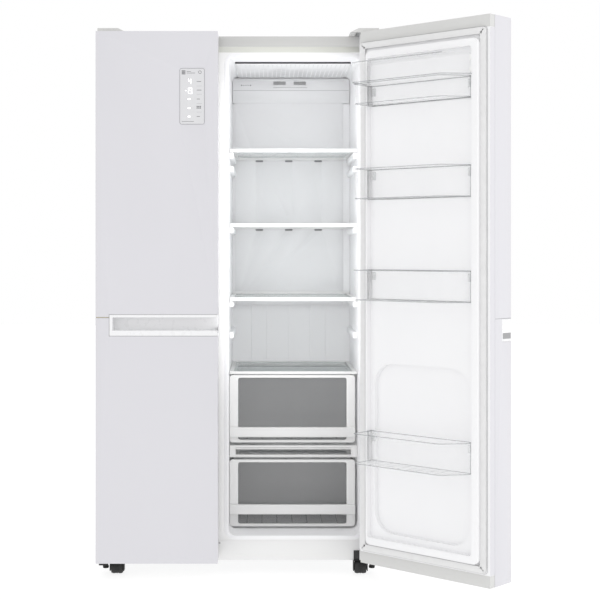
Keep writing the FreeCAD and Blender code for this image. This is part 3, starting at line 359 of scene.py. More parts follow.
    def softened(self, width: float, segments: int = 2, along: Optional[Axis] = None,
                 where: Optional[Callable[[Vector], bool]] = None) -> "Form":
        """Round the sharp edges.

        Args:
            width: How far an edge is cut back.
            segments: The number of steps across an edge.
            along: The axis that the edges run along, or None for all of them.
            where: A test of an edge's middle, or None for all of them.

        Returns:
            This form.
        """
        chosen = []
        for edge in self.bm.edges:
            if edge.calc_face_angle(0) < SHARP:
                continue
            way = edge.verts[1].co - edge.verts[0].co
            if along and abs(way[along.value]) < 0.99 * way.length:
                continue
            if where and not where((edge.verts[0].co + edge.verts[1].co) / 2):
                continue
            chosen.append(edge)
        bmesh.ops.bevel(self.bm, geom=chosen, offset=width, segments=segments, profile=0.5, affect="EDGES",
                        clamp_overlap=True, material=-1)
        return self

    def mapped(self, matrix: Matrix) -> "Form":
        """Carry the form through a matrix, and keep its faces outwards if the matrix mirrors it.

        Args:
            matrix: The matrix.

        Returns:
            This form.
        """
        self.bm.transform(matrix)
        if matrix.determinant() < 0:
            bmesh.ops.reverse_faces(self.bm, faces=self.bm.faces)
        return self

    def upright(self) -> "Form":
        """Stand a form up: its Y becomes Z, and its thickness runs along Y.

        Returns:
            This form.
        """
        return self.mapped(UPRIGHT)

    def moved(self, x: float = 0, y: float = 0, z: float = 0) -> "Form":
        """Shift the form.

        Args:
            x: The shift along X.
            y: The shift along Y.
            z: The shift along Z.

        Returns:
            This form.
        """
        return self.mapped(Matrix.Translation((x, y, z)))

    def turned(self, degrees: float, axis: Axis) -> "Form":
        """Turn the form about an axis through the origin.

        Args:
            degrees: The angle.
            axis: The axis.

        Returns:
            This form.
        """
        return self.mapped(Matrix.Rotation(math.radians(degrees), 4, axis.name))


def gathered(forms: Iterable[Form]) -> Form:
    """Join several forms in one.

    Args:
        forms: The forms, which are used up.

    Returns:
        The joined form.
    """
    result = Form()
    for form in forms:
        result.add(form)
    return result


def copied(node: str) -> Form:
    """Copy a CAD node with its triangles merged into whole faces.

    Args:
        node: The node's name.

    Returns:
        The copy.
    """
    form = Form()
    form.bm.from_mesh(frame["nodes"][node].data)
    bmesh.ops.remove_doubles(form.bm, verts=form.bm.verts, dist=2e-6)
    bmesh.ops.dissolve_limit(form.bm, angle_limit=math.radians(0.4), verts=form.bm.verts, edges=form.bm.edges,
                             use_dissolve_boundaries=False)
    return form


# --- materials -------------------------------------------------------------------------------------------

class Flow:
    """A number that runs through a material's nodes."""

    def __init__(self, recipe: "Recipe", socket: bpy.types.NodeSocket) -> None:
        """Hold the recipe and the socket that the number comes from.

        Args:
            recipe: The material's recipe.
            socket: The socket.
        """
        self.recipe = recipe
        self.socket = socket

    def _math(self, operation: str, first: object, second: object) -> "Flow":
        """Add a Math node.

        Args:
            operation: The node's operation.
            first: Its first number.
            second: Its second number.

        Returns:
            The node's result.
        """
        node = self.recipe.node("ShaderNodeMath", {"operation": operation}, {0: first, 1: second})
        return Flow(self.recipe, node.outputs[0])

    def __add__(self, other: object) -> "Flow":
        """Add.

        Args:
            other: The other number.

        Returns:
            The result.
        """
        return self._math("ADD", self, other)

    def __radd__(self, other: object) -> "Flow":
        """Add to a number.

        Args:
            other: The other number.

        Returns:
            The result.
        """
        return self._math("ADD", other, self)

    def __sub__(self, other: object) -> "Flow":
        """Subtract.

        Args:
            other: The other number.

        Returns:
            The result.
        """
        return self._math("SUBTRACT", self, other)

    def __mul__(self, other: object) -> "Flow":
        """Multiply.

        Args:
            other: The other number.

        Returns:
            The result.
        """
        return self._math("MULTIPLY", self, other)


class Recipe:
    """A material that is being put together from nodes."""

    def __init__(self, name: str) -> None:
        """Start a material with one Principled shader.

        Args:
            name: The material's name.
        """
        self.material = bpy.data.materials.new(name)
        self.material.use_nodes = True
        self.tree = self.material.node_tree
        self.tree.nodes.clear()
        self.shader = self.node("ShaderNodeBsdfPrincipled")
        output = self.node("ShaderNodeOutputMaterial")
        self.tree.links.new(self.shader.outputs[0], output.inputs[0])
        self.place = self.node("ShaderNodeTexCoord").outputs["Object"]

    def node(self, kind: str, settings: Optional[dict] = None,
             sockets: Optional[dict] = None) -> bpy.types.Node:
        """Add a node.

        Args:
            kind: The node's type.
            settings: Its properties, which are set first.
            sockets: A value, a Flow or a socket for each of its inputs, by name or number.

        Returns:
            The new node.
        """
        node = self.tree.nodes.new(kind)
        for key, value in (settings or {}).items():
            setattr(node, key, value)
        for key, value in (sockets or {}).items():
            if isinstance(value, Flow):
                value = value.socket
            if isinstance(value, bpy.types.NodeSocket):
                self.tree.links.new(value, node.inputs[key])
            else:
                node.inputs[key].default_value = value
        return node

    def stretched(self, scale: Sequence[float]) -> bpy.types.NodeSocket:
        """Give the object's coordinates, scaled along each axis.

        Args:
            scale: The scale of each axis.

        Returns:
            The socket with the scaled place.
        """
        return self.node("ShaderNodeMapping", None, {"Vector": self.place, "Scale": scale}).outputs[0]

    def noise(self, scale: float, detail: float = 2.0, stretch: Optional[Sequence[float]] = None) -> Flow:
        """Add a noise pattern.

        Args:
            scale: Its scale, in waves a metre.
            detail: Its depth of detail.
            stretch: How much each axis is scaled first, or None.

        Returns:
            A number about 0.5.
        """
        place = self.stretched(stretch) if stretch else self.place
        node = self.node("ShaderNodeTexNoise", None, {"Vector": place, "Scale": scale, "Detail": detail})
        return Flow(self, node.outputs[0])

    def tinted(self, colour: Sequence[float], amount: Flow, strength: float) -> None:
        """Vary the base colour a little.

        Args:
            colour: The colour itself.
            amount: The number that varies it, about 0.5.
            strength: The share by which the darkest place is darker.
        """
        darker = tuple(part * (1 - strength) for part in colour)
        mix = self.node("ShaderNodeMix", {"data_type": "RGBA"}, {0: amount, 6: (*darker, 1), 7: (*colour, 1)})
        self.tree.links.new(mix.outputs[2], self.shader.inputs["Base Color"])

    def roughened(self, roughness: float, amount: Flow, spread: float) -> None:
        """Vary the roughness about its middle value.

        Args:
            roughness: The middle value.
            amount: The number that varies it, about 0.5.
            spread: The whole span.
        """
        link = roughness + (amount - 0.5) * spread
        self.tree.links.new(link.socket, self.shader.inputs["Roughness"])

    def bumped(self, height: Flow, distance: float) -> None:
        """Add relief.

        Args:
            height: The number that gives the height.
            distance: The height of a full step, in metres.
        """
        bump = self.node("ShaderNodeBump", None, {"Height": height, "Distance": distance, "Strength": 1.0})
        self.tree.links.new(bump.outputs[0], self.shader.inputs["Normal"])

    def fixed(self, **values: object) -> None:
        """Set the shader's own sockets, named with underscores for spaces.

        Args:
            **values: A value for each socket.
        """
        for key, value in values.items():
            self.shader.inputs[key.replace("_", " ")].default_value = value


@dataclass(frozen=True)
class Finish:
    """What every finish has: a name, the record's slot and a colour."""

    name: str
    slot: str
    colour: tuple[float, float, float]
    roughness: float = 0.4

    def dress(self, recipe: Recipe) -> None:
        """Put the nodes in, which each kind of finish does its own way.

        Args:
            recipe: The material that is being put together.
        """
        raise NotImplementedError

    @cache
    def material(self) -> bpy.types.Material:
        """Make the material, once.

        Returns:
            The material.
        """
        recipe = Recipe(f"{self.name}_look")
        recipe.fixed(Base_Color=(*self.colour, 1), Roughness=self.roughness)
        self.dress(recipe)
        return recipe.material


@dataclass(frozen=True)
class PaintedSteel(Finish):
    """Baked paint on sheet steel: a fine orange peel and a soft clear coat."""

    coat: float = 0.25
    peel: float = 0.00003

    def dress(self, recipe: Recipe) -> None:
        """Add the orange peel, the faint rolling waves and the wiped patches.

        Args:
            recipe: The material that is being put together.
        """
        waves = recipe.noise(6, 2, (1, 1, 0.25))
        peel = recipe.noise(420, 3)
        recipe.tinted(self.colour, waves, 0.025)
        recipe.roughened(self.roughness, recipe.noise(14, 4), 0.10)
        recipe.bumped(peel + waves * 4, self.peel)
        recipe.fixed(Coat_Weight=self.coat, Coat_Roughness=0.12)


@dataclass(frozen=True)
class Moulding(Finish):
    """Moulded or vacuum-formed plastic with a fine grain."""

    grain: float = 900
    relief: float = 0.00002

    def dress(self, recipe: Recipe) -> None:
        """Add the mould's grain and the slight flow marks.

        Args:
            recipe: The material that is being put together.
        """
        flow = recipe.noise(9, 3, (1, 1, 0.4))
        recipe.tinted(self.colour, flow, 0.02)
        recipe.roughened(self.roughness, recipe.noise(60, 3), 0.08)
        recipe.bumped(recipe.noise(self.grain, 2) + flow * 2, self.relief)
        recipe.fixed(Specular_IOR_Level=0.45)


@dataclass(frozen=True)
class Clear(Finish):
    """See-through styrene or glass with a faint haze and wipe marks."""

    solid: float = 0.25
    haze: float = 0.06

    def dress(self, recipe: Recipe) -> None:
        """Let the light through, with more body where the haze lies.

        Args:
            recipe: The material that is being put together.
        """
        haze = recipe.noise(22, 4)
        body = self.solid + (haze - 0.5) * self.haze
        recipe.tree.links.new(body.socket, recipe.shader.inputs["Alpha"])
        recipe.tinted(self.colour, haze, 0.03)
        recipe.roughened(self.roughness, recipe.noise(90, 3), 0.05)
        recipe.bumped(recipe.noise(35, 2), 0.00006)
        recipe.fixed(Specular_IOR_Level=0.7)


@dataclass(frozen=True)
class Rubber(Finish):
    """Soft rubber or vinyl with a matte, slightly dusty face."""

    def dress(self, recipe: Recipe) -> None:
        """Add the dust and the fine pits.

        Args:
            recipe: The material that is being put together.
        """
        dust = recipe.noise(40, 4)
        recipe.tinted(self.colour, dust, 0.12)
        recipe.roughened(self.roughness, dust, 0.15)
        recipe.bumped(recipe.noise(1400, 2), 0.00003)
        recipe.fixed(Specular_IOR_Level=0.3)


@dataclass(frozen=True)
class BareMetal(Finish):
    """Zinc-coated, rolled or turned metal."""

    spangle: float = 0.0
    lines: tuple[float, float, float] = (1, 1, 1)

    def dress(self, recipe: Recipe) -> None:
        """Add the zinc flowers and the rolling lines.

        Args:
            recipe: The material that is being put together.
        """
        recipe.fixed(Metallic=1.0)
        drawn = recipe.noise(160, 3, self.lines)
        if self.spangle:
            cells = recipe.node("ShaderNodeTexVoronoi", None, {"Vector": recipe.place, "Scale": self.spangle})
            tone = recipe.node("ShaderNodeRGBToBW", None, {0: cells.outputs["Color"]})
            drawn = Flow(recipe, tone.outputs[0]) * 0.7 + drawn * 0.3
        recipe.tinted(self.colour, drawn, 0.22)
        recipe.roughened(self.roughness, drawn, 0.22)
        recipe.bumped(recipe.noise(700, 3, self.lines), 0.00002)


@dataclass(frozen=True)
class Foam(Finish):
    """Rigid foam with its fine cells."""

    def dress(self, recipe: Recipe) -> None:
        """Add the cells.

        Args:
            recipe: The material that is being put together.
        """
        cells = recipe.node("ShaderNodeTexVoronoi", None, {"Vector": recipe.place, "Scale": 700.0})
        depth = Flow(recipe, cells.outputs["Distance"])
        recipe.tinted(self.colour, depth, 0.25)
        recipe.bumped(depth, 0.0006)


@dataclass(frozen=True)
class Glowing(Finish):
    """A lens or a segment that is lit from behind."""

    strength: float = 1.0

    def dress(self, recipe: Recipe) -> None:
        """Light it, a little unevenly.

        Args:
            recipe: The material that is being put together.
        """
        spread = recipe.noise(18, 2)
        glow = recipe.node("ShaderNodeMix", {"data_type": "RGBA"},
                           {0: spread, 6: (0.94, 0.95, 0.97, 1), 7: (1, 1, 1, 1)})
        recipe.tree.links.new(glow.outputs[2], recipe.shader.inputs["Emission Color"])
        recipe.fixed(Emission_Strength=self.strength)
        recipe.roughened(self.roughness, spread, 0.05)


@dataclass(frozen=True)
class Circuit(Finish):
    """A green circuit board with its copper tracks under the lacquer."""

    def dress(self, recipe: Recipe) -> None:
        """Add the tracks.

        Args:
            recipe: The material that is being put together.
        """
        bricks = recipe.node("ShaderNodeTexBrick", {"offset": 0.35},
                             {"Vector": recipe.stretched((1, 1, 1)), "Scale": 90.0, "Mortar Size": 0.06})
        track = Flow(recipe, bricks.outputs["Fac"])
        recipe.tinted(tuple(part * 1.6 for part in self.colour), track, 0.5)
        recipe.bumped(track, 0.00005)
        recipe.fixed(Coat_Weight=0.5)


DOOR_PAINT = PaintedSteel("door_paint", "door_paint", (0.690, 0.684, 0.718), 0.36)
BEIGE_MOULDING = Moulding("frame_strip_beige", "white_plastic", (0.66, 0.665, 0.62), 0.4)
CABINET_PAINT = PaintedSteel("cabinet_paint", "cabinet_paint", (0.56, 0.56, 0.55), 0.42, coat=0.1)
BLACK_STEEL = PaintedSteel("black_steel", "black_steel", (0.014, 0.014, 0.014), 0.5, coat=0.1)
WHITE_MOULDING = Moulding("white_plastic", "white_plastic", (0.86, 0.86, 0.855), 0.32)
CRISPER_MOULDING = Moulding("crisper_plastic", "white_plastic", (0.82, 0.82, 0.815), 0.32)
HANDLE_MOULDING = Moulding("handle_plastic", "white_plastic", (0.86, 0.86, 0.87), 0.28)
LINER_SHEET = Moulding("liner_plastic", "liner_plastic", (0.93, 0.93, 0.94), 0.38, grain=500)
DOOR_LINER_SHEET = Moulding("door_liner_plastic", "liner_plastic", (0.91, 0.91, 0.92), 0.36, grain=500)
DUCT_MOULDING = Moulding("duct_plastic", "liner_plastic", (0.86, 0.86, 0.87), 0.40)
# Dark grey for the narrow joints, and painted shade behind the duct openings and round the door seal.
RECESS_SHADE = Moulding("duct_opening_grey", "liner_plastic", (0.36, 0.36, 0.37), 0.6)
GREY_MOULDING = Moulding("grey_plastic", "grey_plastic", (0.66, 0.66, 0.65), 0.5)
# Near-black painted shade for the lamp's front gap and the sensor's holes.
GAP_SHADE = Moulding("lamp_surround_grey", "dark_plastic", (0.055, 0.055, 0.06), 0.5)
DARK_MOULDING = Moulding("dark_plastic", "dark_plastic", (0.018, 0.018, 0.018), 0.55, 600, 0.00005)
SEAL = Rubber("seal_rubber", "seal_rubber", (0.83, 0.83, 0.83), 0.6)
BLACK_RUBBER = Rubber("black_rubber", "black_rubber", (0.02, 0.02, 0.02), 0.75)
CLEAR_WALL = Clear("clear_plastic", "clear_plastic", (0.90, 0.91, 0.92), 0.10, solid=0.07, haze=0.03)
# A darker, more opaque copy of the clear plastic: painted shade for the grey look of clear rims, ribs and
# edges.
CLEAR_EDGE_SHADE = Clear("clear_plastic_edge", "clear_plastic", (0.46, 0.48, 0.49), 0.12, solid=0.45)
CLEAR_BASE = Clear("clear_plastic_base", "clear_plastic", (0.88, 0.90, 0.91), 0.16, solid=0.20)
SHELF_GLASS = Clear("shelf_glass", "shelf_glass", (0.80, 0.87, 0.87), 0.05, solid=0.34)
DISPLAY_GLASS = Moulding("display_face", "display_face", (0.70, 0.70, 0.715), 0.10, 300, 0.000004)
OUTLINE_GREY = Moulding("display_outline_grey", "display_face", (0.30, 0.30, 0.32), 0.3)
MARK_GREY = Moulding("display_mark_grey", "display_face", (0.17, 0.17, 0.18), 0.4)
DIGIT_LIGHT = Glowing("display_digit_white", "display_face", (0.97, 0.97, 0.98), 0.3, strength=1.0)
LAMP_LENS = Glowing("lamp_plastic", "lamp_plastic", (0.86, 0.86, 0.87), 0.16, strength=0.08)
ZINC = BareMetal("zinc_steel", "zinc_steel", (0.62, 0.63, 0.64), 0.38, spangle=60)
SCREW_METAL = BareMetal("screw_steel", "screw_steel", (0.60, 0.60, 0.60), 0.30)
FIN_METAL = BareMetal("coil_aluminium", "coil_aluminium", (0.78, 0.79, 0.80), 0.32, lines=(1, 1, 14))
COPPER = BareMetal("pipe_copper", "coil_aluminium", (0.72, 0.36, 0.22), 0.32)
FOAM = Foam("foam", "foam", (0.80, 0.72, 0.46), 0.9)
BOARD = Circuit("circuit", "circuit", (0.05, 0.20, 0.09), 0.35)


def add_piece(form: Form, name: str, finish: Finish, body: str, stands_for: Sequence[str] = (),
              matrix: Optional[Matrix] = None, wall: float = 0.0, smooth: float = 35.0) -> bpy.types.Object:
    """Finish a form as a piece of the object.

    Args:
        form: The form, which is used up.
        name: The piece's name.
        finish: Its finish.
        body: The body that it rides on.
        stands_for: The CAD nodes that it stands for.
        matrix: The matrix from the form's frame to the row frame, or None.
        wall: The thickness that an open shell gets inwards, or 0.
        smooth: The angle in degrees under which faces shade as one.

    Returns:
        The new object.
    """
    if matrix:
        form.mapped(matrix)
    mesh = bpy.data.meshes.new(name)
    form.bm.to_mesh(mesh)
    form.bm.free()
    mesh.shade_smooth()
    mesh.set_sharp_from_angle(angle=math.radians(smooth))
    piece = bpy.data.objects.new(name, mesh)
    bpy.context.scene.collection.objects.link(piece)
    if wall:
        thick = piece.modifiers.new("Wall", "SOLIDIFY")
        thick.thickness = wall
        thick.offset = -1
        thick.use_even_offset = True
    mesh.materials.append(finish.material())
    if stands_for:
        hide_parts(*stands_for)
    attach(piece, body)
    log.info("%s rides on %s", name, body)
    return piece


def keep_node(node: str, finish: Finish) -> None:
    """Give a CAD node its material.

    Args:
        node: The node's name.
        finish: Its finish.
    """
    mesh = frame["nodes"][node].data
    mesh.materials.clear()
    mesh.materials.append(finish.material())
    log.info("%s is kept", node)


def refine(node: str, finish: Finish, body: str, width: float, segments: int = 2) -> None:
    """Stand a copy of a CAD node in for it, with its edges rounded.

    Args:
        node: The node's name.
        finish: Its finish.
        body: The body that it rides on.
        width: How far its edges are cut back.
        segments: The number of steps across an edge.
    """
    form = copied(node).softened(width, segments)
    add_piece(form, f"{node}_finished", finish, body, [node])


# --- the cabinet -----------------------------------------------------------------------------------------

@dataclass
class Cabinet:
    """The body of the refrigerator: the steel wrap, the liners, the frame round the doors and the back."""

    body: str = "cabinet"
    lug_wide: float = 15 * MM
    lug_tall: float = 21 * MM
    lug_long: float = 330 * MM
    spare_drop: float = 66 * MM
    rib_wide: float = 3 * MM
    rib_proud: float = 1.2 * MM
    strip_tall: float = 19 * MM
    strip_proud: float = 0.12 * MM
    press_count: int = 5
    press_half: float = 28 * MM
    press_proud: float = 0.9 * MM
    press_foot: float = 0.08
    press_head: float = 0.34
    door_edge: float = 14 * MM
    ledge_front: float = 4 * MM
    rib_places: tuple[float, ...] = (0.16, 0.30, 0.50, 0.70, 0.84)

    def build(self) -> None:
        """Build every piece of the body."""
        for node, finish, width, segments in (
                ("cabinet_shell", CABINET_PAINT, 0.5, 1), ("kick_panel", WHITE_MOULDING, 0.6, 2),
                ("front_frame", WHITE_MOULDING, 0.6, 2), ("fridge_liner", LINER_SHEET, 0.8, 2),
                ("freezer_liner", LINER_SHEET, 0.8, 2), ("base_plate", ZINC, 0.4, 1)):
            refine(node, finish, self.body, width * MM, segments)
        keep_node("cabinet_foam", FOAM)
        low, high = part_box("front_frame")
        strip = Form.block((low.x, low.y - self.strip_proud, high.z - self.strip_tall),
                           (high.x, low.y + 0.5 * MM, high.z - 0.5 * MM))
        add_piece(strip.softened(0.2 * MM, 2), "frame_top_strip", BEIGE_MOULDING, self.body)
        self.build_back()
        self.build_shelf_lugs()
        self.build_wall_ribs()

    def build_back(self) -> None:
        """Press long stiffening ribs into the back panel, and finish the machine cover."""
        low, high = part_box("cabinet_back_panel")
        refine("machine_cover", GREY_MOULDING, self.body, 0.3 * MM, 1)
        form = Form.block(low, high)
        pitch = (high.x - low.x) / self.press_count
        for number in range(self.press_count):
            middle = low.x + (number + 0.5) * pitch
            rib = Form.rectangle((middle - self.press_half, middle + self.press_half),
                                 (low.z + self.press_foot, high.z - self.press_head), 0, 26 * MM, 8)
            form.add(rib.raised(self.press_proud).softened(0.8 * MM).upright().moved(y=high.y - 0.1 * MM))
        add_piece(form, "cabinet_back_panel_pressed", ZINC, self.body, ["cabinet_back_panel"])
        box_low, box_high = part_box("control_box")
        edge = self.door_edge
        door = Form.rectangle((box_low.x - edge, box_high.x + edge), (box_low.z - edge, box_high.z + edge),
                              0, 6 * MM)
        door.raised(self.press_proud).softened(0.4 * MM).upright().moved(y=high.y)
        heads = [screw_head(4 * MM).turned(-90, Axis.X).moved(x, high.y + self.press_proud, z)
                 for x in (box_low.x - edge / 2, box_high.x + edge / 2)
                 for z in (box_low.z - edge / 2, box_high.z + edge / 2)]
        add_piece(door, "control_box_door", ZINC, self.body)
        add_piece(gathered(heads), "control_box_screws", SCREW_METAL, self.body)

    def build_shelf_lugs(self) -> None:
        """Stand the shelves on the ledges that the liner's side walls carry, with one spare pair."""
        shelves = solids("shelf_frames")
        low, high = whole("shelf_frames")
        inner = (low.x - 1.5 * MM, high.x + 1.5 * MM)
        tops = [pair[0].z - 0.4 * MM for pair in shelves]
        tops.append(tops[-1] - self.spare_drop + self.lug_tall)
        tops.append(tops[0] - self.spare_drop * 1.6)
        forms = []
        middle = (inner[0] + inner[1]) / 2
        front = low.y + self.ledge_front
        for top in tops:
            for start, end in ((inner[0], inner[0] + self.lug_wide), (inner[1] - self.lug_wide, inner[1])):
                ledge = Form.block((start, front, top - self.lug_tall), (end, low.y + self.lug_long, top))
                ledge.softened(6 * MM, 4, Axis.Y, lambda point, a=start, b=end: abs(point.x - middle)
                               < abs((a + b) / 2 - middle))
                ledge.softened(4 * MM, 3, None, lambda point: point.y < front + 1e-5)
                forms.append(ledge)
        add_piece(gathered(forms), "shelf_ledges", LINER_SHEET, self.body)

    def build_wall_ribs(self) -> None:
        """Raise the upright ribs on the liner's back wall under the air duct."""
        duct_low, duct_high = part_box("fridge_air_duct")
        rim = solids("crisper_frame")[-1]
        forms = []
        for share in self.rib_places:
            x = duct_low.x + share * (duct_high.x - duct_low.x)
            rib = Form.block((x - self.rib_wide / 2, duct_high.y - self.rib_proud, rim[1].z + 6 * MM),
                             (x + self.rib_wide / 2, duct_high.y + 0.3 * MM, duct_low.z + 20 * MM))
            forms.append(rib.softened(0.8 * MM, 2, Axis.Z))
        add_piece(gathered(forms), "liner_wall_ribs", LINER_SHEET, self.body)


def screw_head(radius: float) -> Form:
    """Turn a pan head with a cross recess, facing up.

    Args:
        radius: The head's radius.

    Returns:
        The head, standing on the origin.
    """
    head = Form.lathe([(0, radius * 0.45), (radius * 0.6, radius * 0.42), (radius * 0.9, radius * 0.25),
                       (radius, 0), (0, 0)], 20)
    for degrees in (0, 90):
        slot = Form.block((-radius * 0.5, -radius * 0.09, radius * 0.40),
                          (radius * 0.5, radius * 0.09, radius * 0.47))
        head.add(slot.turned(degrees, Axis.Z))
    return head


# --- inside the fridge and freezer -----------------------------------------------------------------------

@dataclass
class Interior:
    """What is fixed inside the two rooms: ducts, lamp, shelves and the crispers' surround."""

    body: str = "cabinet"
    outlets: tuple[float, float] = (151 * MM, 225 * MM)
    outlet_wide: float = 42 * MM
    slat_tall: float = 1.2 * MM
    hole_start: float = 33 * MM
    hole_pitch: float = 6.6 * MM
    hole_drop: float = 26 * MM
    vent_pitch: float = 108 * MM
    lens_ribs: int = 24
    basket_corner: float = 14 * MM

    def build(self) -> None:
        """Build every fixed piece of the rooms."""
        self.build_ducts()
        self.build_lamp()
        self.build_shelves()
        self.build_freezer()

    def build_ducts(self) -> None:
        """Finish the air ducts, put painted shade behind their openings and in the sensor's holes, and draw
        their trim lines.
        """
        refine("fridge_air_duct", DUCT_MOULDING, self.body, 0.8 * MM)
        refine("fridge_top_duct", DUCT_MOULDING, self.body, 0.9 * MM)
        refine("freezer_air_duct", DUCT_MOULDING, self.body, 0.8 * MM)
        low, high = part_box("fridge_top_duct")
        # Each sensor hole is a thin dark disc of painted shade.
        hole_shades = []
        for number in range(6):
            radius = (1.9 if number in (0, 5) else 1.3) * MM
            hole_shade = Form.lathe([(0, 0.5 * MM), (radius, 0.5 * MM), (radius, 0), (0, 0)], 14)
            x = low.x + self.hole_start + number * self.hole_pitch
            hole_shades.append(hole_shade.turned(90, Axis.X).moved(x, low.y, high.z - self.hole_drop))
        add_piece(gathered(hole_shades), "sensor_holes", GAP_SHADE, self.body)
        slats = []
        for left in self.outlets:
            for row in range(3):
                z = high.z - (13.5 + row * 4.2) * MM
                slat = Form.block((low.x + left - 1.5 * MM, low.y + 3 * MM, z - self.slat_tall / 2),
                                  (low.x + left + self.outlet_wide + 1.5 * MM, low.y + 9 * MM,
                                   z + self.slat_tall / 2))
                slats.append(slat)
        add_piece(gathered(slats), "air_outlet_slats", DUCT_MOULDING, self.body)
        lines = [Form.block((low.x + 149 * MM, low.y - 0.35 * MM, high.z - 34.2 * MM),
                            (low.x + 274 * MM, low.y + 0.2 * MM, high.z - 33.2 * MM)),
                 Form.block((low.x + 3 * MM, low.y - 0.3 * MM, low.z + 46 * MM),
                            (high.x - 3 * MM, low.y + 0.2 * MM, low.z + 47 * MM))]
        # Dark sheets of painted shade behind the outlet slats and behind the vents at each shelf.
        opening_shades = []
        for left in self.outlets:
            opening_shades.append(Form.block((low.x + left - 3 * MM, low.y + 9 * MM, high.z - 26 * MM),
                                    (low.x + left + self.outlet_wide + 3 * MM, low.y + 10 * MM,
                                     high.z - 10 * MM)))
        duct_low, duct_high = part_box("fridge_air_duct")
        middle = (duct_low.x + duct_high.x) / 2
        for pair in solids("shelf_frames")[1:]:
            level = pair[0].z - 4 * MM
            for step in (-1, 0, 1):
                x = middle + step * self.vent_pitch
                opening_shades.append(Form.block((x - 15 * MM, duct_low.y + 5 * MM, level - 5 * MM),
                                        (x + 15 * MM, duct_low.y + 6 * MM, level + 5 * MM)))
        shelf_low, shelf_high = whole("shelf_frames")
        sides = ((shelf_low.x - 1 * MM, duct_low.x), (duct_high.x, shelf_high.x + 1 * MM))
        infill = [Form.block((start, duct_low.y + 4 * MM, duct_low.z + 2 * MM),
                             (end, duct_high.y, duct_high.z - 2 * MM)) for start, end in sides]
        add_piece(gathered(infill), "duct_side_strips", LINER_SHEET, self.body)
        add_piece(gathered(lines), "duct_trim_lines", RECESS_SHADE, self.body)
        add_piece(gathered(opening_shades), "duct_opening_backs", RECESS_SHADE, self.body)

    def build_lamp(self) -> None:
        """Fit the ribbed lens in the ceiling, with a dark block of painted shade in the gap in front of it.
        """
        low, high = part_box("lamp_lens")
        lens = Form.rectangle((low.x, high.x), (low.y, high.y), low.z, 10 * MM)
        lens.raised(high.z - low.z).softened(1.6 * MM, 3, None, lambda point: point.z < low.z + 1e-4)
        for number in range(self.lens_ribs):
            x = low.x + 16 * MM + number * (high.x - low.x - 32 * MM) / (self.lens_ribs - 1)
            rib = Form.block((x - 1.5 * MM, low.y + 14 * MM, low.z - 0.15 * MM),
                             (x + 1.5 * MM, high.y - 14 * MM, low.z + 0.4 * MM))
            lens.add(rib.softened(0.1 * MM, 1, Axis.Y))
        add_piece(lens, "lamp_lens_ribbed", LAMP_LENS, self.body, ["lamp_lens"])
        # A dark block of painted shade fills the gap in front of the lens.
        gap = Form.block((low.x - 3 * MM, low.y - 7 * MM, low.z + 0.5 * MM),
                         (high.x, low.y - 0.3 * MM, high.z))
        add_piece(gap, "lamp_front_gap", GAP_SHADE, self.body)

    def build_shelves(self) -> None:
        """Finish the shelves with rounded front trims, and the rim and rail of the crispers."""
        refine("shelf_frames", WHITE_MOULDING, self.body, 1.2 * MM, 3)
        refine("shelf_glasses", SHELF_GLASS, self.body, 0.8 * MM)
        refine("crisper_frame", CRISPER_MOULDING, self.body, 1.2 * MM, 3)
        low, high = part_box("crisper_frame")
        lips = []
        tall = 4 * MM
        for z in (low.z + 9 * MM, low.z + 31 * MM):
            lip = Form.block((low.x + 18 * MM, low.y - 3 * MM, z - tall),
                             (high.x - 18 * MM, low.y + 6 * MM, z))
            lips.append(lip.softened(1 * MM, 2, Axis.X))
        add_piece(gathered(lips), "crisper_rail_lips", CRISPER_MOULDING, self.body)

    def build_freezer(self) -> None:
        """Finish the freezer's shelves and build its baskets with rims."""
        refine("freezer_shelves", CLEAR_BASE, self.body, 1.2 * MM, 3)
        walls = []
        rims = []
        for low, high in solids("freezer_baskets"):
            walls.append(tub_shell(low, high, self.basket_corner, 3 * MM))
            rims.append(tub_rim(low, high, self.basket_corner, 5 * MM, 7 * MM))
        add_piece(gathered(walls), "freezer_basket_walls", CLEAR_BASE, self.body, ["freezer_baskets"],
                  wall=TUB_WALL)
        add_piece(gathered(rims), "freezer_basket_rims", CLEAR_EDGE_SHADE, self.body)


def tub_shell(low: Vector, high: Vector, radius: float, draft: float) -> Form:
    """Shape an open tub that narrows a little to its floor.

    Args:
        low: The lowest corner of its box.
        high: The highest corner of its box.
        radius: The radius of its upright corners.
        draft: How much narrower each side is at the floor.

    Returns:
        An open shell.
    """
    def ring(inward: float, level: float) -> Form:
        """Give the tub's outline at a level.

        Args:
            inward: How much is taken off each side.
            level: Its height.

        Returns:
            One flat face.
        """
        return Form.rectangle((low.x + inward, high.x - inward), (low.y + inward, high.y - inward),
                              level, radius, 6)

    rounding = 5 * MM
    rings = [ring(draft + rounding, low.z), ring(draft + rounding * 0.3, low.z + rounding * 0.3),
             ring(draft, low.z + rounding), ring(0, high.z - 0.5 * MM)]
    return Form.loft(rings)


def tub_rim(low: Vector, high: Vector, radius: float, width: float, tall: float) -> Form:
    """Shape the thick rim round the top of a tub.

    Args:
        low: The lowest corner of the tub's box.
        high: The highest corner of the tub's box.
        radius: The radius of its upright corners.
        width: The rim's width.
        tall: The rim's height.

    Returns:
        The closed rim.
    """
    rim = Form.rectangle((low.x, high.x), (low.y, high.y), high.z - tall, radius, 6)
    return rim.band(width).raised(tall).softened(1 * MM, 2)


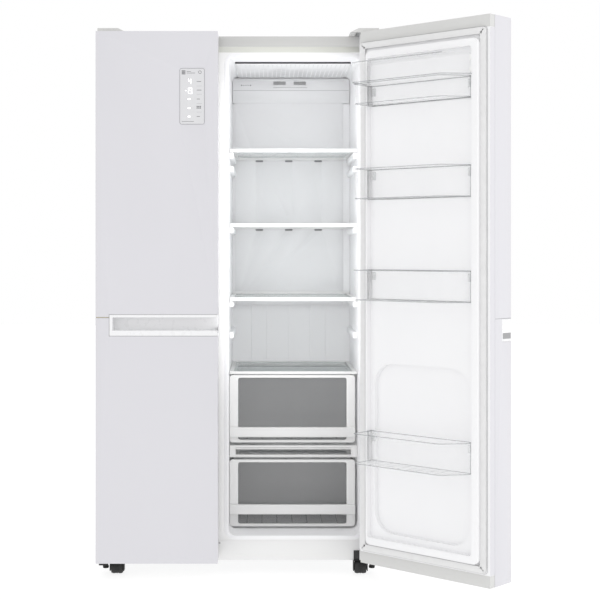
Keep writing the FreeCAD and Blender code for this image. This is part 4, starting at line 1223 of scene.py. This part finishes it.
@dataclass
class Drawer:
    """A crisper: a clear tub behind a white front with a window and a full-width bar."""

    body: str
    radius: float = 12 * MM
    draft: float = 4 * MM
    rib_count: int = 7
    stile: float = 28 * MM
    line_inward: float = 2.2 * MM

    def build(self) -> None:
        """Build the tub, its rim and floor ribs, and the front."""
        low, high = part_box(f"{self.body}_tub")
        shell = tub_shell(low, high, self.radius, self.draft)
        ahead = [face for face in shell.bm.faces if face.calc_center_median().y < low.y + self.draft + 1 * MM
                 and face.calc_center_median().z > low.z + 20 * MM]
        bmesh.ops.delete(shell.bm, geom=ahead, context="FACES")
        add_piece(shell, f"{self.body}_tub_walls", CLEAR_WALL, self.body, [f"{self.body}_tub"],
                  wall=TUB_WALL)
        rim = tub_rim(low, high, self.radius, 5 * MM, 6 * MM)
        ribs = []
        for number in range(self.rib_count):
            x = low.x + (number + 1) * (high.x - low.x) / (self.rib_count + 1)
            rib = Form.block((x - 1 * MM, low.y + 20 * MM, low.z + 2.6 * MM),
                             (x + 1 * MM, high.y - 20 * MM, low.z + 4.4 * MM))
            ribs.append(rib.softened(0.6 * MM, 2, Axis.Y))
        add_piece(rim, f"{self.body}_tub_rim", CLEAR_EDGE_SHADE, self.body)
        add_piece(gathered(ribs), f"{self.body}_floor_ribs", CLEAR_EDGE_SHADE, self.body)
        refine(f"{self.body}_front", CRISPER_MOULDING, self.body, 1.4 * MM, 3)
        self.build_window()

    def build_window(self) -> None:
        """Set the clear pane in the front, with a thin line of painted shade round it."""
        low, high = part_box(f"{self.body}_front")
        x = (low.x + self.stile - 2 * MM, high.x - self.stile + 2 * MM)
        z = (low.z + 7 * MM, high.z - 7 * MM)
        back = high.y - 4 * MM
        pane = Form.rectangle(x, z, 0, 8 * MM).raised(1.6 * MM).upright().moved(y=back)
        add_piece(pane, f"{self.body}_window", CLEAR_WALL, self.body)
        step = self.line_inward
        line = Form.rectangle((x[0] + step, x[1] - step), (z[0] + step, z[1] - step), 0, 8 * MM)
        line.band(1.4 * MM).raised(0.5 * MM).upright().moved(y=back - 0.5 * MM)
        add_piece(line, f"{self.body}_window_line", CLEAR_EDGE_SHADE, self.body)


# --- the doors -------------------------------------------------------------------------------------------

@dataclass
class Door:
    """A door: painted skin, end caps, liner, seal, recessed handle and bins."""

    side: Side
    bevel: float = 59 * MM
    cheek: float = 20 * MM
    corner: float = 12 * MM
    wall: float = 2.2 * MM
    seam_drop: float = 10 * MM
    joint_wide: float = 1.3 * MM
    end_cap_tall: float = 26 * MM
    floor_ribs: int = 9

    def __post_init__(self) -> None:
        """Read the door's frame."""
        self.body = f"{self.side.value}_door"
        self.matrix = door_matrix(self.side)

    def build(self) -> None:
        """Build every piece of the door."""
        for part, finish, width, segments in (
                ("skin", DOOR_PAINT, 0.55, 2), ("caps", GREY_MOULDING, 1.5, 3),
                ("liner", DOOR_LINER_SHEET, 3.0, 4), ("handle", HANDLE_MOULDING, 1.6, 3)):
            refine(f"{self.body}_{part}", finish, self.body, width * MM, segments)
        keep_node(f"{self.body}_foam", FOAM)
        self.build_seal()
        self.build_joint_lines()
        self.build_bins()

    def build_seal(self) -> None:
        """Build the seal: a base, a bellows and the magnet's sleeve."""
        low, high = whole(f"{self.body}_gasket", self.matrix)
        depth = high.y - low.y
        layers = ((0.0, 21, 0.16), (3.0, 15, 0.10), (1.5, 18, 0.10), (3.5, 14, 0.10), (1.5, 18, 0.10),
                  (3.5, 14, 0.10), (0.6, 20, 0.34))
        forms = []
        start = low.y
        for inward, width, share in layers:
            step = inward * MM
            ring = Form.rectangle((low.x + step, high.x - step), (low.z + step, high.z - step), 0, 12 * MM, 6)
            ring.band(width * MM).raised(depth * share).softened(0.35 * MM, 2)
            forms.append(ring.upright().moved(y=start))
            start += depth * share
        add_piece(gathered(forms), f"{self.body}_seal", SEAL, self.body, [f"{self.body}_gasket"], self.matrix)

    def build_joint_lines(self) -> None:
        """Draw the narrow joints of the door: round the handle, beside it and round the seal, and a ring of
        painted shadow just outside the seal.
        """
        low, high = whole(f"{self.body}_skin", self.matrix)
        grip_low, grip_high = whole(f"{self.body}_handle", self.matrix)
        level = grip_high.z - self.seam_drop
        wide = self.joint_wide
        front = low.y - 0.12 * MM
        back = low.y + 0.3 * MM
        forms = [Form.block((low.x + 1 * MM, front, level - wide / 2), (grip_low.x, back, level + wide / 2)),
                 Form.block((high.x - 0.3 * MM, low.y + 1 * MM, grip_high.z + 1 * MM),
                            (high.x + 0.12 * MM, high.y - 1 * MM, grip_high.z + 1 * MM + wide)),
                 Form.block((grip_high.x - 1 * MM, low.y + 2 * MM, grip_low.z + 8 * MM),
                            (grip_high.x + 0.1 * MM, grip_high.y - 4 * MM, grip_low.z + self.end_cap_tall)),
                 Form.block((grip_low.x - wide, front, grip_low.z - wide),
                            (grip_low.x, back, grip_high.z + wide)),
                 Form.block((grip_low.x, front, grip_high.z), (high.x - 1 * MM, back, grip_high.z + wide)),
                 Form.block((grip_low.x, front, grip_low.z - wide), (high.x - 1 * MM, back, grip_low.z))]
        seal_low, seal_high = whole(f"{self.body}_gasket", self.matrix)
        # The first ring, just outside the seal, is painted shadow where the seal meets the door; the second
        # is a line on the seal's face.
        for inward, width, place in (
                (-2 * MM, 0.9 * MM, seal_low.y), (20 * MM, 1 * MM, seal_high.y - 0.5 * MM)):
            ring = Form.rectangle((seal_low.x + inward, seal_high.x - inward),
                                  (seal_low.z + inward, seal_high.z - inward), 0, 12 * MM, 6)
            forms.append(ring.band(width).raised(0.4 * MM).upright().moved(y=place))
        add_piece(gathered(forms), f"{self.body}_joint_lines", RECESS_SHADE, self.body, matrix=self.matrix)
        liner_low, liner_high = whole(f"{self.body}_liner", self.matrix)
        flank = Form.block((liner_high.x - 0.3 * MM, high.y, liner_low.z + 1 * MM),
                           (liner_high.x + 0.5 * MM, seal_low.y - 0.6 * MM, liner_high.z - 1 * MM))
        add_piece(flank, f"{self.body}_edge_trim", DOOR_PAINT, self.body, matrix=self.matrix)

    def plan(self, low: Vector, high: Vector, level: float, inward: float = 0.0) -> Form:
        """Give the plan of a bin with its free corner bevelled.

        Args:
            low: The lowest corner of the bin's box.
            high: The highest corner of the bin's box.
            level: The height of the plan.
            inward: How much is taken off the front and the ends.

        Returns:
            One flat face.
        """
        right = high.x - inward
        front = high.y - inward
        points = [(low.x + inward, low.y), (right, low.y), (right, low.y + self.cheek - inward * 0.3),
                  (right - self.bevel + inward * 0.4, front), (low.x + inward, front)]
        form = Form.outline(points, level, 0)
        corners = [vert for vert in form.bm.verts if vert.co.y > low.y + 1e-4]
        bmesh.ops.bevel(form.bm, geom=corners, offset=self.corner, segments=6, profile=0.5,
                        affect="VERTICES", material=-1)
        return form

    def bin_forms(self, low: Vector, high: Vector) -> tuple[Form, Form, Form]:
        """Shape one bin.

        Args:
            low: The lowest corner of its box.
            high: The highest corner of its box.

        Returns:
            Its walls as an open shell, its rim with the foot line, and its floor ribs.
        """
        curve = 4 * MM
        draft = 2.5 * MM
        rings = [self.plan(low, high, level, inward) for level, inward in (
            (low.z, draft + curve), (low.z + 0.3 * curve, draft + 0.3 * curve), (low.z + curve, draft),
            (high.z - 0.5 * MM, 0.4 * MM))]
        walls = Form.loft(rings)
        behind = [face for face in walls.bm.faces if face.calc_center_median().y < low.y + draft + 1 * MM
                  and face.calc_center_median().z > low.z + 2 * curve]
        bmesh.ops.delete(walls.bm, geom=behind, context="FACES")
        rim = self.plan(low, high, high.z - 2.6 * MM).band(3.0 * MM).raised(2.6 * MM).softened(0.6 * MM, 2)
        foot = self.plan(low, high, low.z + 1.2 * MM, draft + 0.2 * MM).band(2.6 * MM).raised(2.2 * MM)
        rim.add(foot.softened(0.5 * MM, 2))
        ribs = Form()
        for number in range(self.floor_ribs):
            x = low.x + 24 * MM + number * (high.x - low.x - self.bevel - 48 * MM) / (self.floor_ribs - 1)
            rib = Form.block((x - 0.8 * MM, low.y + 9 * MM, low.z + 2.3 * MM),
                             (x + 0.8 * MM, high.y - 14 * MM, low.z + 3.8 * MM))
            ribs.add(rib.softened(0.5 * MM, 2, Axis.Y))
        for x in (low.x + 6 * MM, high.x - 20 * MM):
            hook = Form.block((x, low.y + 0.5 * MM, high.z - 34 * MM),
                              (x + 14 * MM, low.y + 6 * MM, high.z - 8 * MM))
            ribs.add(hook.softened(2 * MM, 3))
        for x in (high.x - 1.8 * MM, low.x + 0.4 * MM):
            edge = Form.block((x, low.y + self.cheek - 3 * MM, low.z + 4 * MM),
                              (x + 1.4 * MM, low.y + self.cheek - 1.4 * MM, high.z - 2 * MM))
            rim.add(edge.softened(0.3 * MM, 1, Axis.Z))
        return walls, rim, ribs

    def build_bins(self) -> None:
        """Build the clear bins."""
        parts = [self.bin_forms(low, high) for low, high in solids(f"{self.body}_bins", self.matrix)]
        walls, rims, ribs = (gathered(column) for column in zip(*parts))
        add_piece(walls, f"{self.body}_bin_walls", CLEAR_WALL, self.body, [f"{self.body}_bins"], self.matrix,
                  wall=self.wall)
        add_piece(rims, f"{self.body}_bin_rims", CLEAR_EDGE_SHADE, self.body, matrix=self.matrix)
        add_piece(ribs, f"{self.body}_bin_ribs", CLEAR_BASE, self.body, matrix=self.matrix)


@dataclass
class FridgeDoor(Door):
    """The open door on the right, with its dairy compartment."""

    side: Side = Side.FRIDGE

    def build(self) -> None:
        """Build the door and its dairy compartment."""
        super().build()
        self.build_dairy_tray()
        self.build_dairy_lid()

    def build_dairy_tray(self) -> None:
        """Build the lower half of the dairy compartment."""
        low, high = whole("fridge_door_dairy_tray", self.matrix)
        walls, rim, ribs = self.bin_forms(low, high)
        add_piece(walls, "dairy_tray_walls", CLEAR_WALL, self.body, ["fridge_door_dairy_tray"], self.matrix,
                  wall=self.wall)
        add_piece(rim, "dairy_tray_rim", CLEAR_EDGE_SHADE, self.body, matrix=self.matrix)
        add_piece(ribs, "dairy_tray_ribs", CLEAR_BASE, self.body, matrix=self.matrix)

    def build_dairy_lid(self) -> None:
        """Build the lid: the clear shell, its edge line, the grip and the pads at its free end."""
        refine("fridge_door_dairy_lid", CLEAR_WALL, "dairy_lid", 0.9 * MM, 3)
        low, high = whole("fridge_door_dairy_lid", self.matrix)
        edge = self.plan(low, high, low.z + 0.2 * MM).band(2.6 * MM)
        back = [face for face in edge.bm.faces if face.calc_center_median().y < low.y + 8 * MM]
        bmesh.ops.delete(edge.bm, geom=back, context="FACES")
        edge.raised(3 * MM).softened(0.6 * MM, 2)
        add_piece(edge, "dairy_lid_edge", CLEAR_EDGE_SHADE, "dairy_lid", matrix=self.matrix)
        top = Form.block((low.x + 3 * MM, high.y - 9 * MM, high.z - 2 * MM),
                         (high.x - self.bevel, high.y - 1 * MM, high.z - 0.1 * MM))
        add_piece(top.softened(0.8 * MM, 2), "dairy_lid_grip", CLEAR_EDGE_SHADE, "dairy_lid", matrix=self.matrix)
        pads = Form()
        for z in (low.z + 6 * MM, high.z - 24 * MM):
            pads.add(Form.block((high.x - 11 * MM, low.y + 7 * MM, z),
                                (high.x - 2.4 * MM, low.y + 15 * MM, z + 18 * MM)))
        add_piece(pads.softened(2 * MM, 3), "dairy_lid_end_pads", WHITE_MOULDING, "dairy_lid",
                  matrix=self.matrix)


SEGMENTS = {"1": "bc", "4": "fgbc", "9": "abcdfg", "-": "g"}


def digit(figure: str, wide: float, tall: float, stroke: float) -> Form:
    """Build a seven-segment figure, flat, with its lower left corner on the origin.

    Args:
        figure: The figure.
        wide: Its width.
        tall: Its height.
        stroke: The width of a segment.

    Returns:
        Its lit segments as thin plates.
    """
    half = tall / 2
    gap = stroke * 0.35
    bars = {"a": ((gap, tall - stroke), (wide - gap, tall)), "d": ((gap, 0), (wide - gap, stroke)),
            "g": ((gap, half - stroke / 2), (wide - gap, half + stroke / 2)),
            "b": ((wide - stroke, half + gap), (wide, tall - gap)),
            "c": ((wide - stroke, gap), (wide, half - gap)), "f": ((0, half + gap), (stroke, tall - gap))}
    forms = []
    for name in SEGMENTS[figure]:
        (x0, y0), (x1, y1) = bars[name]
        forms.append(Form.rectangle((x0, x1), (y0, y1), 0, stroke * 0.45, 2).raised(0.15 * MM))
    return gathered(forms)


@dataclass
class FreezerDoor(Door):
    """The shut door on the left, with the display near its free edge."""

    side: Side = Side.FREEZER
    corner_radius: float = 7 * MM

    def build(self) -> None:
        """Build the door and its display."""
        super().build()
        self.build_display()

    def mark(self, left: float, top: float, wide: float, tall: float, radius: float = 0.3 * MM) -> Form:
        """Make a thin printed bar on the display.

        Args:
            left: Its distance from the panel's left edge.
            top: Its distance under the panel's top edge.
            wide: Its width.
            tall: Its height.
            radius: The radius of its corners.

        Returns:
            The bar, standing on the display's face.
        """
        form = Form.rectangle((self.panel_low.x + left, self.panel_low.x + left + wide),
                              (self.panel_high.z - top - tall, self.panel_high.z - top), 0, radius, 2)
        return form.raised(0.12 * MM).upright().moved(y=self.panel_low.y - 0.1 * MM)

    def build_display(self) -> None:
        """Build the display: its glass, the line round it, the lit figures and the printed marks."""
        self.panel_low, self.panel_high = solids("freezer_door_display", self.matrix)[0]
        low, high = self.panel_low, self.panel_high
        glass = Form.rectangle((low.x, high.x), (low.z, high.z), 0, self.corner_radius, 8).raised(4 * MM)
        glass.softened(0.35 * MM, 2).upright().moved(y=low.y)
        add_piece(glass, "display_glass", DISPLAY_GLASS, self.body, ["freezer_door_display"], self.matrix)
        line = Form.rectangle((low.x + 0.2 * MM, high.x - 0.2 * MM), (low.z + 0.2 * MM, high.z - 0.2 * MM), 0,
                              self.corner_radius, 8)
        line.band(1.1 * MM).raised(0.2 * MM).upright().moved(y=low.y - 0.12 * MM)
        add_piece(line, "display_outline", OUTLINE_GREY, self.body, matrix=self.matrix)
        figures = [("4", 28, 33, 9, 18), ("-", 17, 62, 7, 20), ("1", 22, 62, 7, 20), ("9", 31, 62, 9, 20)]
        lit = []
        for figure, left, top, wide, tall in figures:
            form = digit(figure, wide * MM, tall * MM, 1.7 * MM)
            lit.append(form.upright().moved(low.x + left * MM, low.y - 0.12 * MM, high.z - (top + tall) * MM))
        lit += [self.mark(26 * MM, top * MM, 9 * MM, 4 * MM, 1 * MM) for top in (97, 126, 153)]
        add_piece(gathered(lit), "display_figures", DIGIT_LIGHT, self.body, matrix=self.matrix)
        self.build_marks()

    def build_marks(self) -> None:
        """Print the plain marks: two icons, the key bars and the thin lines between the keys."""
        marks = [self.mark(55 * MM, top * MM, wide * MM, 1.7 * MM)
                 for top, wide in ((42, 14), (69.5, 15), (98, 10), (154, 10))]
        marks += [self.mark((54.5 + column * 5) * MM, (121 + row * 5) * MM, 4 * MM, 3.4 * MM)
                  for column in range(3) for row in range(2)]
        marks += [self.mark((7 + column * 4.1) * MM, (7 + row * 4.6) * MM, 3.3 * MM, 3.8 * MM)
                  for column in range(3) for row in range(3)]
        marks += [self.mark(22.5 * MM, top * MM, wide * MM, 1.4 * MM) for top, wide in ((10, 14), (15, 27))]
        marks.append(self.mark(7 * MM, 170 * MM, 39 * MM, 1.2 * MM))
        ring = Form.outline([(math.cos(n * math.pi / 3) * 5.6 * MM, math.sin(n * math.pi / 3) * 5.6 * MM)
                             for n in range(6)], 0, 0.6 * MM, 2)
        ring.band(1.4 * MM).raised(0.12 * MM).upright()
        marks.append(ring.moved(self.panel_low.x + 65 * MM, self.panel_low.y - 0.1 * MM,
                                self.panel_high.z - 13 * MM))
        add_piece(gathered(marks), "display_marks", MARK_GREY, self.body, matrix=self.matrix)
        lines = [self.mark(54.5 * MM, top * MM, 17 * MM, 0.5 * MM, 0) for top in (57, 83.5, 113, 140.5)]
        add_piece(gathered(lines), "display_key_lines", OUTLINE_GREY, self.body, matrix=self.matrix)


# --- machinery -------------------------------------------------------------------------------------------

@dataclass
class Machinery:
    """The compressor, coils, fans and electrics."""

    body: str = "cabinet"
    dome_radius: float = 72 * MM

    def build(self) -> None:
        """Build every piece of the machinery."""
        self.build_compressor()
        keep_node("compressor_bushes", BLACK_RUBBER)
        keep_node("condenser", FIN_METAL)
        keep_node("evaporator", FIN_METAL)
        refine("drain_pan", DARK_MOULDING, self.body, 1 * MM)
        refine("fan_frames", DARK_MOULDING, self.body, 0.8 * MM)
        refine("control_box", WHITE_MOULDING, self.body, 1 * MM)
        keep_node("circuit_boards", BOARD)
        self.build_inlet()
        for name in ("evaporator_fan", "condenser_fan"):
            refine(name, DARK_MOULDING, name, 0.5 * MM)

    def build_compressor(self) -> None:
        """Turn the compressor's welded dome and set it on its foot plate."""
        low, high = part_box("compressor")
        middle = (low + high) / 2
        radius = self.dome_radius
        tall = high.z - low.z - 20 * MM
        profile = [(0, tall), (radius * 0.45, tall - 1 * MM), (radius * 0.72, tall - 7 * MM),
                   (radius * 0.90, tall - 22 * MM), (radius * 0.965, tall - 46 * MM),
                   (radius * 0.97, tall * 0.56), (radius, tall * 0.55), (radius, tall * 0.51),
                   (radius * 0.97, tall * 0.50), (radius * 0.95, tall * 0.2), (radius * 0.84, 14 * MM),
                   (radius * 0.6, 4 * MM), (0, 3 * MM)]
        dome = Form.lathe(profile, 56).moved(middle.x, middle.y, low.z)
        foot = Form.rectangle((low.x, high.x), (middle.y - 60 * MM, middle.y + 60 * MM), low.z, 12 * MM)
        dome.add(foot.raised(3 * MM).softened(0.6 * MM, 2))
        box = Form.block((middle.x + 50 * MM, middle.y - 22 * MM, low.z + 60 * MM),
                         (high.x - 0.5 * MM, middle.y + 22 * MM, low.z + 110 * MM))
        dome.add(box.softened(4 * MM, 3))
        add_piece(dome, "compressor_dome", BLACK_STEEL, self.body, ["compressor"])
        top = high.z - 4 * MM
        x = middle.x - 40 * MM
        pipe = Form.tube([(x, middle.y, low.z + 110 * MM), (x, middle.y, top), (x, middle.y - 30 * MM, top),
                          (x, middle.y - 30 * MM, low.z + 80 * MM)], 3.6 * MM)
        add_piece(pipe, "compressor_pipe", COPPER, self.body)

    def build_inlet(self) -> None:
        """Turn the ribbed gland of the power inlet."""
        low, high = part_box("power_inlet")
        middle = (low + high) / 2
        deep = high.y - low.y
        profile = [(radius * MM, deep * share) for radius, share in (
            (4.5, 0), (11, 0), (11, 0.35), (8, 0.4), (8, 0.5), (9, 0.55), (9, 0.7), (7.4, 0.75),
            (7.4, 0.96), (4.5, 0.96), (4.5, 0))]
        gland = Form.lathe(profile, 28).turned(-90, Axis.X).moved(middle.x, low.y, middle.z)
        add_piece(gland, "power_inlet_gland", BLACK_RUBBER, self.body, ["power_inlet"])


# --- hinges, wheels and feet -----------------------------------------------------------------------------

@dataclass
class Running:
    """The hinges, wheels, rollers and feet."""

    body: str = "cabinet"
    tread: int = 36
    bore: float = 4.05 * MM
    shaft: float = 3.95 * MM
    stem: float = 4 * MM
    threads: int = 20

    def build(self) -> None:
        """Build every piece that carries the doors or the cabinet."""
        refine("top_hinges", ZINC, self.body, 0.5 * MM)
        refine("hinge_covers", GREY_MOULDING, self.body, 2.5 * MM, 4)
        refine("bottom_hinges", BLACK_STEEL, self.body, 0.8 * MM)
        refine("wheel_forks", BLACK_STEEL, self.body, 0.8 * MM)
        for name in ("right", "left"):
            self.build_wheel(f"front_wheel_{name}")
            self.build_foot(f"levelling_foot_{name}")
        self.build_rollers()
        self.build_screws()

    def wheel(self, low: Vector, high: Vector) -> Form:
        """Turn a wheel about X with a grooved tread and a dished hub.

        Args:
            low: The lowest corner of its box.
            high: The highest corner of its box.

        Returns:
            The wheel in place.
        """
        wide = high.x - low.x
        radius = (high.z - low.z) / 2
        half = wide / 2
        side = [(self.bore, half * 0.75), (radius * 0.34, half * 0.78), (radius * 0.40, half * 0.62),
                (radius * 0.66, half * 0.62), (radius * 0.72, half * 0.97), (radius * 0.86, half * 0.95),
                (radius * 0.96, half * 0.80), (radius, half * 0.62), (radius, half * 0.30),
                (radius * 0.95, half * 0.26), (radius * 0.95, half * 0.12), (radius, half * 0.08)]
        profile = side + [(r, -h) for r, h in reversed(side)] + [side[0]]
        middle = (low + high) / 2
        return Form.lathe(profile, self.tread).turned(90, Axis.Y).moved(*middle)

    def build_wheel(self, name: str) -> None:
        """Build one front wheel.

        Args:
            name: The wheel's node.
        """
        low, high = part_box(name)
        add_piece(self.wheel(low, high), f"{name}_turned", DARK_MOULDING, name, [name], smooth=28)

    def build_rollers(self) -> None:
        """Build the two rear rollers on their shaft."""
        forms = []
        for low, high in solids("rear_rollers"):
            if high.z - low.z < 12 * MM:
                middle = (low + high) / 2
                ends = [(low.x + 4 * MM, middle.y, middle.z), (high.x - 4 * MM, middle.y, middle.z)]
                forms.append(Form.tube(ends, self.shaft))
            else:
                forms.append(self.wheel(low, high))
        add_piece(gathered(forms), "rear_rollers_turned", DARK_MOULDING, "rear_rollers", ["rear_rollers"],
                  smooth=28)

    def build_foot(self, name: str) -> None:
        """Build one levelling foot: a pad, a nut and a threaded stem.

        Args:
            name: The foot's node.
        """
        low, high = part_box(name)
        middle = (low + high) / 2
        radius = (high.x - low.x) / 2
        profile = [(0, 0), (radius * 0.85, 0), (radius, 1.5 * MM), (radius, 7 * MM), (radius * 0.8, 9 * MM),
                   (radius * 0.8, 12 * MM)]
        tall = high.z - low.z
        for turn in range(self.threads):
            base = 13 * MM + turn * (tall - 15 * MM) / self.threads
            profile += [(self.stem * 0.86, base), (self.stem, base + (tall - 15 * MM) / self.threads * 0.5)]
        profile += [(self.stem * 0.8, tall), (0, tall)]
        foot = Form.lathe(profile, 24).moved(middle.x, middle.y, low.z)
        add_piece(foot, f"{name}_turned", BLACK_RUBBER, name, [name], smooth=28)

    def build_screws(self) -> None:
        """Build the screws with their cross recesses."""
        forms = []
        for low, high in solids("screws"):
            middle = (low + high) / 2
            size = high - low
            radius = max(size) / 2
            if size.z < size.x * 0.8:
                forms.append(screw_head(radius).moved(middle.x, middle.y, low.z))
            elif middle.y > 0:
                forms.append(screw_head(radius).turned(-90, Axis.X).moved(middle.x, low.y, middle.z))
            else:
                forms.append(screw_head(radius).turned(90, Axis.X).moved(middle.x, high.y, middle.z))
        add_piece(gathered(forms), "screws_turned", SCREW_METAL, self.body, ["screws"])


# --- the studio ------------------------------------------------------------------------------------------

@dataclass
class Studio:
    """A plain pale floor, soft light and the camera."""

    eye: tuple[float, float, float] = (0.0864, -4.669, 1.064)
    lens: float = 79.5
    shift: tuple[float, float] = (0.0583, -0.0833)

    def build(self) -> None:
        """Set up the floor, the light and the camera."""
        scene = bpy.context.scene
        scene.view_settings.view_transform = "Standard"
        self.build_floor()
        self.build_world()
        self.add_light("front_softbox", (-2.4, -4.6, 3.0), (0.1, -0.3, 0.9), (3.0, 3.0), 1.5)
        self.add_light("side_softbox", (4.2, -2.6, 2.4), (0.4, -0.4, 0.9), (3.0, 3.0), 32)
        self.add_light("back_softbox", (0.5, 4.4, 3.0), (0.0, 0.0, 0.9), (3.0, 3.0), 1.5)
        low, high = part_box("fridge_liner")
        x = (low.x + high.x) / 2
        lens_low, lens_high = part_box("lamp_lens")
        y = (lens_low.y + lens_high.y) / 2
        self.add_light("room_lamp", (x, y, lens_low.z - 0.004), (x, y, 0), (0.34, 0.30), 0.04)
        self.add_light("room_fill", (x, low.y - 0.11, 1.15), (x, 1, 1.15), (0.40, 0.95), 1.4)
        camera = bpy.data.objects.new("camera", bpy.data.cameras.new("camera"))
        scene.collection.objects.link(camera)
        camera.location = self.eye
        camera.rotation_euler = (math.pi / 2, 0, 0)
        camera.data.lens = self.lens
        camera.data.sensor_width = 36
        camera.data.shift_x, camera.data.shift_y = self.shift
        scene.camera = camera

    def build_floor(self) -> None:
        """Lay the floor."""
        form = Form()
        bmesh.ops.create_grid(form.bm, x_segments=1, y_segments=1, size=14)
        mesh = bpy.data.meshes.new("floor")
        form.bm.to_mesh(mesh)
        form.bm.free()
        floor = bpy.data.objects.new("floor", mesh)
        bpy.context.scene.collection.objects.link(floor)
        recipe = Recipe("floor_paper")
        recipe.tinted((0.24, 0.24, 0.24), recipe.noise(0.6, 2), 0.01)
        recipe.fixed(Roughness=0.75, Specular_IOR_Level=0.1)
        recipe.fixed(Emission_Color=(1, 1, 1, 1), Emission_Strength=0.83)
        mesh.materials.append(recipe.material)

    def build_world(self) -> None:
        """Fill the surroundings with even white light."""
        world = bpy.data.worlds.new("studio_white")
        world.use_nodes = True
        background = world.node_tree.nodes["Background"]
        background.inputs["Color"].default_value = (1, 1, 1, 1)
        background.inputs["Strength"].default_value = 1.0
        bpy.context.scene.world = world

    def add_light(self, name: str, place: tuple, target: tuple, size: tuple[float, float],
                  power: float) -> None:
        """Hang a rectangular area light that stays out of the picture.

        Args:
            name: The light's name.
            place: Where it hangs.
            target: The point that it faces.
            size: Its width and its height.
            power: Its power in watts.
        """
        light = bpy.data.lights.new(name, "AREA")
        light.shape = "RECTANGLE"
        light.size, light.size_y = size
        light.energy = power
        holder = bpy.data.objects.new(name, light)
        bpy.context.scene.collection.objects.link(holder)
        holder.location = place
        holder.rotation_euler = (Vector(target) - Vector(place)).to_track_quat("-Z", "Y").to_euler()
        holder.visible_camera = False


def main() -> None:
    """Build the whole refrigerator in order."""
    logging.basicConfig(level=logging.INFO, format="%(message)s")
    Cabinet().build()
    Interior().build()
    for name in ("upper_crisper", "lower_crisper"):
        Drawer(name).build()
    FridgeDoor().build()
    FreezerDoor().build()
    Machinery().build()
    Running().build()
    Studio().build()


if __name__ == "__main__":
    main()
